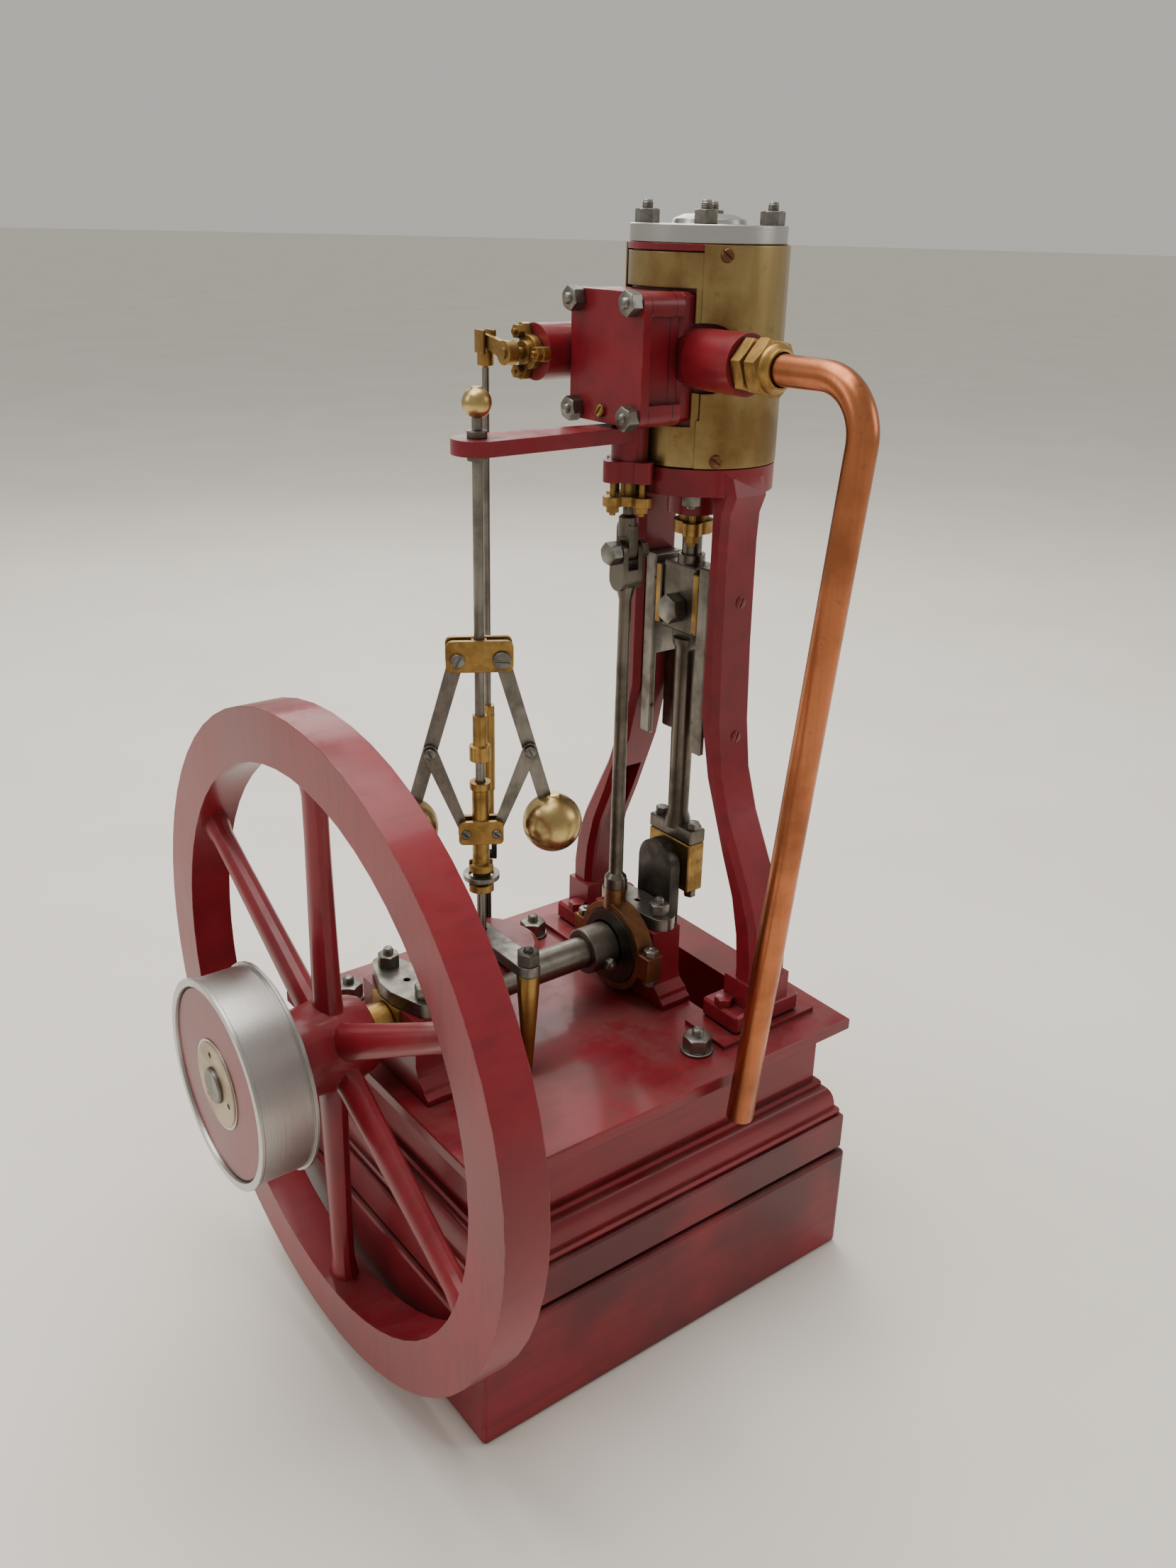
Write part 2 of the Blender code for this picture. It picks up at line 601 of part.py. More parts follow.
def tube(name, points, outer, inner, kind, seg=16):
    """A pipe wall swept along a path, open at both ends."""
    bm = bmesh.new()
    side = Vector((1, 0, 0))
    rings = []
    for i, point in enumerate(points):
        ahead = points[min(i + 1, len(points) - 1)] - points[max(i - 1, 0)]
        ahead.normalize()
        side = (side - ahead * side.dot(ahead)).normalized()
        up = ahead.cross(side)
        pair = []
        for radius in (outer, inner):
            pair.append([bm.verts.new(point + (side * math.cos(2 * math.pi * k / seg)
                                               + up * math.sin(2 * math.pi * k / seg)) * radius)
                         for k in range(seg)])
        rings.append(pair)
    for a, b in zip(rings, rings[1:]):
        for skin in (0, 1):
            for k in range(seg):
                j = (k + 1) % seg
                bm.faces.new((a[skin][k], a[skin][j], b[skin][j], b[skin][k]))
    for pair in (rings[0], rings[-1]):
        for k in range(seg):
            j = (k + 1) % seg
            bm.faces.new((pair[0][k], pair[0][j], pair[1][j], pair[1][k]))
    return make(name, bm, kind)


tube("exhaust_pipe", pipe_path(), PIPE_R, PIPE_R - PIPE_WALL, "copper")

# ---------------------------------------------------------------- main bearings


def pedestal(name, x, half):
    """A bearing pedestal with a stepped foot and a seat for the shaft."""
    base = PLATE_TOP + GAP
    y_foot = 40.0
    y_body = 28.0
    outline = [(y_foot, base), (y_foot, base + 3.5), (y_foot - 3.5, base + 5.5),
               (y_foot - 4.5, base + 8.0), (y_body + 2.0, base + 12.0), (y_body, base + 18.0),
               (y_body, SHAFT_Z + 14.5)]
    full = outline + [(-y, z) for y, z in reversed(outline)]
    obj = prism(name, full, "X", x - half, x + half, "red")
    seat = rod_x("t", SHAFT_R + 4.3, x - half - 2, x + half + 2, (0, SHAFT_Z), "red", 32)
    top = box("t", (x - half - 2, x + half + 2), (-SHAFT_R - 4.3, SHAFT_R + 4.3),
              (SHAFT_Z, SHAFT_Z + 30), "red")
    cut(obj, [seat, top])
    return obj


def cap(name, x, half):
    """A steel cap plate with two nuts and an oil hole."""
    z0 = SHAFT_Z + 14.5 + GAP
    waist = half + 1.5
    outline = (arc(x, -22.5, 8.0, 200, 340, 8) + [(x + waist, -6.0), (x + waist, 6.0)]
               + arc(x, 22.5, 8.0, 20, 160, 8) + [(x - waist, 6.0), (x - waist, -6.0)])
    obj = prism(name, outline, "Z", z0, CAP_TOP, "steel")
    bits = []
    for side in (-1, 1):
        bits.append(hexagon("t", 10.0, CAP_TOP - 0.5, CAP_TOP + 6.5, "Z", (x, side * 20.0, 0),
                            "steel", 0.2))
        bits.append(rod_z("t", 2.4, CAP_TOP + 5, CAP_TOP + 10.5, (x, side * 20.0), "steel", 12))
    combine(obj, bits)
    return cut(obj, [rod_z("t", 2.0, z0 - 1, CAP_TOP + 1, (x, 0), "steel", 12)])


def shell(name, x, half):
    """The brass bush that carries the shaft, with square shoulders above."""
    r_out = SHAFT_R + 4.0
    obj = rod_x(name, r_out, x - half, x + half, (0, SHAFT_Z), "brass", 32)
    combine(obj, [box("t", (x - half, x + half), (-r_out, r_out), (SHAFT_Z, SHAFT_Z + 14.3), "brass")])
    return cut(obj, [rod_x("t", SHAFT_R + 0.35, x - half - 2, x + half + 2, (0, SHAFT_Z), "brass", 32)])


pedestal("inner_bearing", BEARING_IN_X, BEARING_HALF - 0.5)
cap("inner_bearing_cap", BEARING_IN_X, 9.2)
shell("inner_bearing_brass", BEARING_IN_X, BEARING_HALF - 0.5)
pedestal("outer_bearing", BEARING_OUT_X, BEARING_HALF + 1.0)
cap("outer_bearing_cap", BEARING_OUT_X, 12.0)
shell("outer_bearing_brass", BEARING_OUT_X, BEARING_HALF + 3.0)

# ---------------------------------------------------------------- crankshaft and wheels
WEB_X = (65.6, 73.2)
crank_axis = (0, 0, SHAFT_Z)
shaft = turned("crankshaft", [(0, PULLEY_X[0] - 2.0), (SHAFT_R - 0.8, PULLEY_X[0] - 2.0),
                              (SHAFT_R, PULLEY_X[0] - 1.2), (SHAFT_R, WEB_X[0] - GAP),
                              (0, WEB_X[0] - GAP)], "X", crank_axis, "steel", 32)
web = prism("crank_web", capsule((0, SHAFT_Z), (0, SHAFT_Z + CRANK_THROW), 15.0, 15.0, 14), "X",
            WEB_X[0], WEB_X[1], "steel")
collar = turned("sheave_collar", [(SHAFT_R + GAP, 11.5), (13.4, 11.5), (14.0, 12.1), (14.0, 28.9),
                                  (SHAFT_R + GAP, 28.9)], "X", crank_axis, "steel", 32, ring=True)
combine(collar, [rod_y("t", 3.0, -18.5, -12.0, (20.5, SHAFT_Z - 4.0), "steel", 12)])
turned("spacer_bush", [(SHAFT_R + GAP, -135.7), (12.8, -135.7), (12.8, -122.4),
                       (SHAFT_R + GAP, -122.4)], "X", crank_axis, "brass", 32, ring=True)
bevel_h = BEVEL_R * BEVEL_RATIO
back = GOV_X - BEVEL_R
inner_r = BEVEL_R - BEVEL_FACE
turned("governor_pinion", [(SHAFT_R + GAP, back - 1.6), (bevel_h - 3.4, back - 1.6),
                           (bevel_h - 0.4, back + 1.0),
                           (inner_r * BEVEL_RATIO - 0.4, GOV_X - inner_r),
                           (14.0, GOV_X - inner_r + 1.0), (14.0, GOV_X - inner_r + 7.0),
                           (SHAFT_R + GAP, GOV_X - inner_r + 7.0)], "X", crank_axis, "steel", 28,
       ring=True)


def flywheel():
    """Rim, six oval spokes and a hub."""
    rim = turned("flywheel", [(WHEEL_RIM_R, WHEEL_X[0]), (WHEEL_R, WHEEL_X[0]),
                              (WHEEL_R, WHEEL_X[1]), (WHEEL_RIM_R, WHEEL_X[1])], "X", crank_axis,
                 "red", 60, ring=True)
    mid = (WHEEL_X[0] + WHEEL_X[1]) / 2
    hub = turned("t", [(SHAFT_R + GAP, HUB_X[0]), (19.0, HUB_X[0]), (23.0, HUB_X[0] + 8),
                       (25.5, mid), (21.5, HUB_X[1] - 3), (20.0, HUB_X[1]),
                       (SHAFT_R + GAP, HUB_X[1])], "X", crank_axis, "red", 24, ring=True)
    bits = [hub]
    for k in range(6):
        bm = bmesh.new()
        rows = []
        for radius, wide, deep in ((15.0, 12.0, 8.0), (30.0, 9.8, 7.0), (120.0, 7.6, 6.0),
                                   (143.0, 7.6, 6.0), (WHEEL_RIM_R + 2.0, 11.0, 8.0)):
            row = []
            for i in range(12):
                turn = 2 * math.pi * i / 12
                row.append(bm.verts.new((mid + deep * math.cos(turn), wide * math.sin(turn),
                                         radius)))
            rows.append(row)
        bm.faces.new(rows[0])
        bm.faces.new(rows[-1])
        for low, high in zip(rows, rows[1:]):
            for i in range(12):
                j = (i + 1) % 12
                bm.faces.new((low[i], low[j], high[j], high[i]))
        spoke = make("t", bm, "red")
        spin = Matrix.Rotation(math.radians(60 * k), 4, "X")
        placed(spoke, Matrix.Translation((0, 0, SHAFT_Z)) @ spin)
        bits.append(spoke)
    combine(rim, bits)
    return cut(rim, [rod_x("t", SHAFT_R + GAP, HUB_X[0] - 5, HUB_X[1] + 5, (0, SHAFT_Z), "red", 32)])


wheel = flywheel()
px0, px1 = PULLEY_X
pulley = turned("belt_pulley", [
    (SHAFT_R + GAP, px0 + 1.0), (24.0, px0 + 1.0), (24.0, px0 + 2.6), (PULLEY_R - 4.5, px0 + 2.6),
    (PULLEY_R - 4.0, px0), (PULLEY_R, px0), (PULLEY_R, px0 + 1.8), (PULLEY_R - 1.4, px0 + 1.8),
    (PULLEY_R - 1.4, px1 - 1.8), (PULLEY_R, px1 - 1.8), (PULLEY_R, px1), (PULLEY_R - 4.0, px1),
    (PULLEY_R - 4.0, px1 - 14.0), (17.0, px1 - 14.0), (17.0, px1 + 1.1), (SHAFT_R + GAP, px1 + 1.1)],
    "X", crank_axis, "steel", 44, ring=True)

# ---------------------------------------------------------------- rod, crosshead and piston
PIN_Z = SHAFT_Z + CRANK_THROW
XH_Z = PIN_Z + ROD_LENGTH
rod = turned("connecting_rod", [(0, PIN_Z + 22.0), (8.5, PIN_Z + 22.0), (7.6, PIN_Z + 27.0),
                                (6.2, PIN_Z + 31.0), (6.9, XH_Z - 24.0), (8.0, XH_Z - 22.0),
                                (8.0, XH_Z - 18.8), (0, XH_Z - 18.8)], "Z", (CYL_X, 0, 0), "steel", 20)
strap_top = box("t", ROD_X, (-19.0, 19.0), (PIN_Z + 15.3, PIN_Z + 24.0), "steel", 0.8)
eye = prism("t", capsule((0, XH_Z), (0, XH_Z - 19.0), 7.2, 9.0, 10), "X", CYL_X - 4.0, CYL_X + 4.0,
            "steel")
bits = [strap_top, eye]
for side in (-1, 1):
    bits.append(hexagon("t", 6.5, PIN_Z + 23.5, PIN_Z + 28.0, "Z", (CYL_X, side * 14.5, 0), "steel"))
    bits.append(rod_z("t", 2.6, PIN_Z - 19.5, PIN_Z + 16.0, (CYL_X, side * 14.5), "steel", 12))
    bits.append(hexagon("t", 6.5, PIN_Z - 21.0, PIN_Z - 16.8, "Z", (CYL_X, side * 14.5, 0), "steel"))
bits.append(rod_x("t", 2.8, ROD_X[1] - 3.0, ROD_X[1] + 4.5, (-8.0, PIN_Z + 19.5), "steel", 12))
combine(rod, bits)
cut(rod, [rod_x("t", 4.3, CYL_X - 9, CYL_X + 9, (0, XH_Z), "steel", 20)])

brass = box("big_end_brasses", ROD_X, (-18.5, 18.5), (PIN_Z - 16.5, PIN_Z + 15.0), "brass", 0.6)
cut(brass, [rod_x("t", 7.4, ROD_X[0] - 3, ROD_X[1] + 3, (0, PIN_Z), "brass", 24)]
    + [rod_z("t", 2.9, PIN_Z - 25, PIN_Z + 25, (CYL_X, side * 14.5), "brass", 14)
       for side in (-1, 1)])
pin = turned("crankpin", [(0, WEB_X[1] + GAP), (10.0, WEB_X[1] + GAP), (10.0, ROD_X[0] - GAP),
                          (7.0, ROD_X[0] - GAP), (7.0, ROD_X[1] + 1.0), (10.0, ROD_X[1] + 1.0),
                          (10.0, ROD_X[1] + 3.4), (0, ROD_X[1] + 3.4)], "X", (0, 0, PIN_Z), "steel",
             24)

xh_x = (CYL_X - 8.6, CYL_X + 8.6)
crosshead = box("crosshead", xh_x, (-13.6, 13.6), (XH_Z - 14.0, XH_Z + 25.0), "steel", 1.0)
slot = box("t", (CYL_X - 4.6, CYL_X + 4.6), (-30, 30), (XH_Z - 30, XH_Z + 9.0), "steel")
cut(crosshead, [slot, rod_x("t", 4.3, CYL_X - 12, CYL_X + 12, (0, XH_Z), "steel", 20)])
bits = [rod_z("t", 7.8, XH_Z + 24.0, XH_Z + 30.0, (CYL_X, 0), "steel", 20)]
for side in (-1, 1):
    y_pair = sorted((side * 13.0, side * (GUIDE_Y - GAP)))
    bits.append(box("t", (CYL_X - 10.2, CYL_X + 10.2), y_pair, (XH_Z - 12.0, XH_Z + 22.0), "steel",
                    0.5))
combine(crosshead, bits)
cut(crosshead, [rod_z("t", 5.9, XH_Z + 14.0, XH_Z + 34.0, (CYL_X, 0), "steel", 20)])
pin_body = turned("crosshead_pin", [(0, xh_x[0] - 2.2), (4.0, xh_x[0] - 2.2), (4.0, xh_x[1] + 4.0),
                                    (0, xh_x[1] + 4.0)], "X", (0, 0, XH_Z), "steel", 20)
combine(pin_body, [hexagon("t", 14.0, xh_x[0] - 8.0, xh_x[0] - GAP, "X", (0, 0, XH_Z), "steel", 0.35),
                   hexagon("t", 10.0, xh_x[1] + GAP, xh_x[1] + 5.5, "X", (0, 0, XH_Z), "steel", 0.2)])
PISTON_Z = (CYL_Z[1] - 9.7, CYL_Z[1] - 2.2)
piston = turned("piston_and_rod", [(0, XH_Z + 14.5), (5.6, XH_Z + 14.5), (5.6, PISTON_Z[0]),
                                   (BORE_R - 0.4, PISTON_Z[0]), (BORE_R - 0.4, PISTON_Z[1]),
                                   (0, PISTON_Z[1])], "Z", (CYL_X, 0, 0), "steel", 40)

# ---------------------------------------------------------------- valve gear
ECC_Y = -ECC_THROW
ECC_X = (VALVE_X - 6.2, VALVE_X + 6.0)
sheave = rod_x("eccentric_sheave", ECC_R, ECC_X[0], ECC_X[1], (ECC_Y, SHAFT_Z), "dark", 40)
SHEAVE_BORE = SHAFT_R + ECC_THROW * 1.45 + 0.4
cut(sheave, [rod_x("t", SHEAVE_BORE, ECC_X[0] - 2, ECC_X[1] + 2, (0, SHAFT_Z), "dark", 32)])

strap_x = (VALVE_X - 5.6, VALVE_X + 5.6)
strap = rod_x("eccentric_strap", ECC_R + 4.4, strap_x[0], strap_x[1], (ECC_Y, SHAFT_Z), "brass", 40)
bits = []
for side in (-1, 1):
    y_pair = sorted((ECC_Y + side * (ECC_R + 2.5), ECC_Y + side * (ECC_R + 12.5)))
    bits.append(box("t", strap_x, y_pair, (SHAFT_Z - 9.5, SHAFT_Z + 6.5), "brass", 0.5))
    y_bolt = ECC_Y + side * (ECC_R + 8.2)
    bits.append(hexagon("t", 7.2, SHAFT_Z + 6.0, SHAFT_Z + 9.8, "Z", (VALVE_X, y_bolt, 0), "brass", 0.3))
    bits.append(hexagon("t", 7.2, SHAFT_Z - 13.5, SHAFT_Z - 9.0, "Z", (VALVE_X, y_bolt, 0), "brass", 0.3))
bits.append(turned("t", [(0, SHAFT_Z + ECC_R), (6.7, SHAFT_Z + ECC_R), (6.2, SHAFT_Z + ECC_R + 7),
                         (6.2, SHAFT_Z + 37.0), (0, SHAFT_Z + 37.0)], "Z", (VALVE_X, 0, 0), "brass", 20))
combine(strap, bits)
cut(strap, [rod_x("t", ECC_R + GAP, strap_x[0] - 2, strap_x[1] + 2, (ECC_Y, SHAFT_Z), "brass", 40)])

fork_z = KNUCKLE_Z - 19.0
ecc_rod = turned("eccentric_rod", [(0, SHAFT_Z + 37.0 + GAP), (6.6, SHAFT_Z + 37.0 + GAP),
                                   (6.6, SHAFT_Z + 44.0), (4.2, SHAFT_Z + 47.0), (3.5, fork_z - 8),
                                   (5.6, fork_z), (0, fork_z)], "Z", (VALVE_X, 0, 0), "steel", 20)
fork = prism("t", capsule((0, KNUCKLE_Z), (0, fork_z + 4), 6.0, 6.4, 8), "X", VALVE_X - 6.6,
             VALVE_X + 6.6, "steel")
slot = box("t", (VALVE_X - 3.4, VALVE_X + 3.4), (-12, 12), (KNUCKLE_Z - 9.5, KNUCKLE_Z + 14), "steel")
bolt_hole = rod_x("t", 2.9, VALVE_X - 9, VALVE_X + 9, (0, KNUCKLE_Z), "steel", 16)
combine(ecc_rod, [fork])
cut(ecc_rod, [slot, bolt_hole])

valve_rod = prism("valve_rod", capsule((0, KNUCKLE_Z), (0, KNUCKLE_Z + 12.0), 5.6, 5.6, 8), "X",
                  VALVE_X - 3.0, VALVE_X + 3.0, "steel")
bits = [rod_x("t", 2.6, VALVE_X - 9.0, VALVE_X + 9.0, (0, KNUCKLE_Z), "steel", 14),
        hexagon("t", 10.5, VALVE_X - 13.0, VALVE_X - 6.6 - GAP, "X", (0, 0, KNUCKLE_Z), "steel", 0.2),
        hexagon("t", 9.0, VALVE_X + 6.6 + GAP, VALVE_X + 11.5, "X", (0, 0, KNUCKLE_Z), "steel", 0.2),
        turned("t", [(0, KNUCKLE_Z + 8.5), (5.0, KNUCKLE_Z + 8.5), (5.0, KNUCKLE_Z + 18.5),
                     (2.9, KNUCKLE_Z + 20.0), (2.9, CHEST_Z[1] - 14.5), (0, CHEST_Z[1] - 14.5)], "Z",
               (VALVE_X, 0, 0), "steel", 22)]
combine(valve_rod, bits)
slide = box("t", (body_x[0] + 3.0, body_x[1] - 4 - GAP), (-13, 13),
            (CHEST_Z[0] + 20.0, CHEST_Z[1] - 18.0), "steel", 0.6)
combine(valve_rod, [slide])

# ---------------------------------------------------------------- throttle
housing = rod_x("throttle_housing", 14.5, 5.0, 41.0, (THROTTLE_Y, THROTTLE_Z), "red", 32)
combine(housing, [box("t", (24.0, 40.0), (24.4 + GAP, THROTTLE_Y), (THROTTLE_Z - 12.6, THROTTLE_Z + 12.6),
                      "red", 1.0)])
cut(housing, [rod_x("t", 3.2, 0.0, 30.0, (THROTTLE_Y, THROTTLE_Z), "red", 16)])
t_ears = [(11.5 * math.cos(math.radians(a)), 11.5 * math.sin(math.radians(a))) for a in (60, 180, 300)]
t_gland = prism("throttle_gland", lobed(THROTTLE_Y, THROTTLE_Z, t_ears, 4.4, 8.5), "X", 0.2, 4.7,
                "brass")
bits = []
for ey, ez in t_ears:
    spot = (THROTTLE_Y + ey, THROTTLE_Z + ez)
    bits.append(hexagon("t", 6.6, -3.2, 0.6, "X", (0, spot[0], spot[1]), "brass"))
    bits.append(rod_x("t", 1.6, -4.8, 0.0, spot, "brass", 10))
combine(t_gland, bits + [rod_x("t", 6.0, -3.0, 1.0, (THROTTLE_Y, THROTTLE_Z), "brass", 20)])
cut(t_gland, [rod_x("t", 3.2, -6.0, 8.0, (THROTTLE_Y, THROTTLE_Z), "brass", 16)])

lever_tip = (ROD_XY[1], THROTTLE_Z + 5.0)
hub_x = ROD_XY[0]
lever = rod_x("throttle_lever", 2.9, hub_x - 4.0, 26.0, (THROTTLE_Y, THROTTLE_Z), "steel", 16)
bits = [rod_x("t", 6.2, hub_x - 3.0, hub_x + 3.0, (THROTTLE_Y, THROTTLE_Z), "steel", 20),
        prism("t", capsule((THROTTLE_Y, THROTTLE_Z), (lever_tip[0] - 1.0, lever_tip[1]), 4.6,
                           3.0), "X", hub_x - 1.8, hub_x + 1.8, "steel")]
combine(lever, bits)

# ---------------------------------------------------------------- governor
SPINDLE_R = 2.6
BRACKET_Z = (500.0, 507.5)
gov = (GOV_X, 0.0)
spindle = turned("governor_spindle", [(0, 218.0), (SPINDLE_R, 218.0),
                                      (SPINDLE_R, BRACKET_Z[0] - 3.2), (5.0, BRACKET_Z[0] - 3.2),
                                      (5.0, BRACKET_Z[0] - GAP), (2.2, BRACKET_Z[0] - GAP),
                                      (2.2, BRACKET_Z[1] + GAP), (5.0, BRACKET_Z[1] + GAP),
                                      (5.0, BRACKET_Z[1] + 3.4), (2.6, BRACKET_Z[1] + 4.4),
                                      (2.6, BRACKET_Z[1] + 11.0), (0, BRACKET_Z[1] + 11.0)], "Z",
                 (GOV_X, 0, 0), "steel", 20)
ball_z = BRACKET_Z[1] + 16.4
ball = []
for i in range(9):
    turn = math.radians(-90 + 180 * i / 8)
    ball.append((7.2 * math.cos(turn), ball_z + 7.2 * math.sin(turn)))
ball[0] = (0, ball[0][1])
ball[-1] = (0, ball[-1][1])
wheel_top = SHAFT_Z + bevel_h + 2.4
turned("governor_bevel_wheel", [
    (SPINDLE_R + GAP, SHAFT_Z + inner_r * BEVEL_RATIO - 2.0), (10.0, SHAFT_Z + inner_r * BEVEL_RATIO - 2.0),
    (12.0, SHAFT_Z + inner_r * BEVEL_RATIO + GAP), (inner_r - 0.6, SHAFT_Z + inner_r * BEVEL_RATIO + GAP),
    (BEVEL_R - 0.2, SHAFT_Z + bevel_h + GAP), (BEVEL_R - 3.0, wheel_top),
    (8.0, wheel_top), (8.0, BRIDGE_Z[0] - GAP), (SPINDLE_R + GAP, BRIDGE_Z[0] - GAP)],
    "Z", (GOV_X, 0, 0), "red", 40, ring=True)
stop = turned("t", [(0, 341.0), (5.8, 341.0), (5.8, 349.0), (3.9, 349.6), (3.9, 366.0), (0, 366.0)],
              "Z", (GOV_X, 0, 0), "steel", 16)
combine(spindle, [turned("t", ball, "Z", (GOV_X, 0, 0), "steel", 18), stop])

SWING = Matrix.Translation((GOV_X, 0, 0)) @ Matrix.Rotation(GOV_TURN, 4, "Z")
head_z = (GOV_HEAD_Z - 6.5, GOV_HEAD_Z + 10.0)
plate_in = 2.9
plate_out = 5.6


def cheek_block(name, half_x, z0, z1, core, radius, kind):
    """Two cheeks with rounded corners, joined round the spindle by a core."""
    outline = rounded(-half_x, half_x, z0, z1, radius)
    obj = prism(name, outline, "Y", -plate_out, -plate_in, kind)
    back = prism("t", outline, "Y", plate_in, plate_out, kind)
    combine(obj, [box("t", (-core, core), (-plate_in - 1, plate_in + 1), (z0 + 0.5, z1 - 0.5), kind),
                  back])
    return obj


head = cheek_block("governor_head", 17.3, head_z[0], head_z[1], 3.9, 3.5, "brass")
bits = []
for side in (-1, 1):
    bits.append(rod_y("t", 3.6, -plate_out - 1.4, -plate_out + 0.5, (side * GOV_PIVOT, GOV_HEAD_Z),
                      "brass", 16))
combine(head, bits)
cut(head, [rod_z("t", SPINDLE_R + GAP, head_z[0] - 2, head_z[1] + 2, (0, 0), "brass", 20)])
placed(head, SWING)

sin_a = math.sin(GOV_ARM_ANGLE)
cos_a = math.cos(GOV_ARM_ANGLE)
elbow = (GOV_PIVOT + GOV_ARM * sin_a, GOV_HEAD_Z - GOV_ARM * cos_a)
ball_at = (GOV_PIVOT + GOV_BALL * sin_a, GOV_HEAD_Z - GOV_BALL * cos_a)
LINK_ANGLE = math.asin((elbow[0] - GOV_SLEEVE_PIVOT) / GOV_LINK)
SLEEVE_Z = elbow[1] - GOV_LINK * math.cos(LINK_ANGLE)
ARM_Y = (-0.2, 2.4)
LINK_Y = (-2.5, -0.5)


def arm(name, side):
    """A flat arm with its ball, in the plane of the governor's head."""
    outline = capsule((side * GOV_PIVOT, GOV_HEAD_Z), (side * ball_at[0], ball_at[1]), 4.0, 3.6)
    return prism(name, outline, "Y", ARM_Y[0], ARM_Y[1], "steel")


def ball_profile(radius, steps=10):
    points = []
    for i in range(steps + 1):
        turn = math.radians(-90 + 180 * i / steps)
        points.append((max(0.0, radius * math.cos(turn)), radius * math.sin(turn)))
    points[0] = (0, -radius)
    points[-1] = (0, radius)
    return points


for side, tag in ((1, "right"), (-1, "left")):
    flat = arm("governor_arm_" + tag, side)
    combine(flat, [rod_y("t", 2.4, -4.6, ARM_Y[0] + 0.3, (side * elbow[0], elbow[1]), "steel", 14),
                   turned("t", ball_profile(GOV_BALL_R), "Z", (side * ball_at[0], 0, ball_at[1]),
                          "steel", 20)])
    placed(flat, SWING)
    outline = capsule((side * elbow[0], elbow[1]), (side * GOV_SLEEVE_PIVOT, SLEEVE_Z), 4.0, 2.6)
    link = prism("governor_link_" + tag, outline, "Y", LINK_Y[0], LINK_Y[1], "steel")
    cut(link, [rod_y("t", 2.8, -6.0, 1.0, (side * elbow[0], elbow[1]), "steel", 16)])
    placed(link, SWING)

sleeve_z = (SLEEVE_Z - 6.0, SLEEVE_Z + 7.2)
sleeve = cheek_block("governor_sleeve", 12.0, sleeve_z[0], sleeve_z[1], 4.0, 2.5, "brass")
tube_part = turned("t", [(SPINDLE_R + GAP, 264.5), (7.4, 264.5), (7.4, 268.6), (4.7, 269.0),
                         (4.7, 276.2), (7.2, 276.6), (7.2, 280.4), (4.6, 281.2), (4.6, 324.0),
                         (5.8, 324.6), (5.8, 328.5), (SPINDLE_R + GAP, 328.5)], "Z", (0, 0, 0),
                   "brass", 18, ring=True)
core_cut = rod_z("t", SPINDLE_R + GAP, 250, 340, (0, 0), "brass", 18)
combine(sleeve, [tube_part])
room = []
for side in (-1, 1):
    x_pair = sorted((side * 4.75, side * 20))
    room.append(box("t", x_pair, (-plate_in + 0.001, plate_in - 0.001), (260, 320), "brass"))
cut(sleeve, [core_cut] + room)
placed(sleeve, SWING)

bracket = prism("t", capsule((GOV_X, 0), (VALVE_X, 0), 13.0, 8.5, 12), "Z", BRACKET_Z[0],
                BRACKET_Z[1], "red")
combine(chest, [bracket])
cut(chest, [rod_z("t", RING_R + 0.7, 470.0, CHEST_Z[0] - 1.4, (CYL_X, 0), "red", 40)])
cut(chest, [rod_z("t", SPINDLE_R + GAP, BRACKET_Z[0] - 3, BRACKET_Z[1] + 3, gov, "red", 18)])
cut(chest, [rod_z("t", 3.3, BRACKET_Z[0] - 3, BRACKET_Z[1] + 3, (VALVE_X, 0), "red", 20)])

bridge = prism("governor_bridge", capsule((GOV_X, -BRIDGE_Y), (GOV_X, BRIDGE_Y), 6.5, 6.5), "Z",
               BRIDGE_Z[0], BRIDGE_Z[1], "steel")
cut(bridge, [rod_z("t", SPINDLE_R + 0.35, BRIDGE_Z[0] - 3, BRIDGE_Z[1] + 3, gov, "steel", 20)])
for side, tag in ((-1, "front"), (1, "rear")):
    post = turned("bridge_post_" + tag, [
        (0, PLATE_TOP + GAP), (2.2, PLATE_TOP + GAP), (2.4, PLATE_TOP + 2), (5.9, BRIDGE_Z[0] - 12.0),
        (6.4, BRIDGE_Z[0] - GAP), (0, BRIDGE_Z[0] - GAP)], "Z", (GOV_X, side * BRIDGE_Y, 0), "brass", 20)
    combine(bridge, [stud("t", GOV_X, side * BRIDGE_Y, BRIDGE_Z[1] - 0.5, 10.5, 7.0, 2.4, 2.0)])

# governor lever on its own post, and the throttle rod behind the governor
fx, fy = FULCRUM_XY
post = turned("fulcrum_post", [(0, PLATE_TOP + GAP), (6.0, PLATE_TOP + GAP), (6.0, PLATE_TOP + 3),
                               (3.0, PLATE_TOP + 4), (3.0, LEVER_Z - 8.0), (0, LEVER_Z - 8.0)], "Z",
              (fx, fy, 0), "dark", 18)
heading = math.atan2(ROD_XY[1] - 0.0, ROD_XY[0] - GOV_X)
TURN = Matrix.Translation((fx, fy, LEVER_Z)) @ Matrix.Rotation(heading, 4, "Z")
clevis = prism("t", rounded(-3.0, 3.0, -12.0, 4.0, 2.0, 3), "Y", -6.4, 6.4, "dark")
cut(clevis, [box("t2", (-10, 10), (-3.4, 3.4), (-8.0, 10), "dark")])
placed(clevis, TURN)
combine(post, [clevis])
reach = math.hypot(fx - GOV_X, fy)
rod_reach = math.hypot(ROD_XY[0] - fx, ROD_XY[1] - fy)
lever2 = prism("governor_lever", capsule((-reach + 12.5, 0), (rod_reach - 7.2, 0), 3.2, 3.0), "Y",
               -2.2, 2.2, "steel")
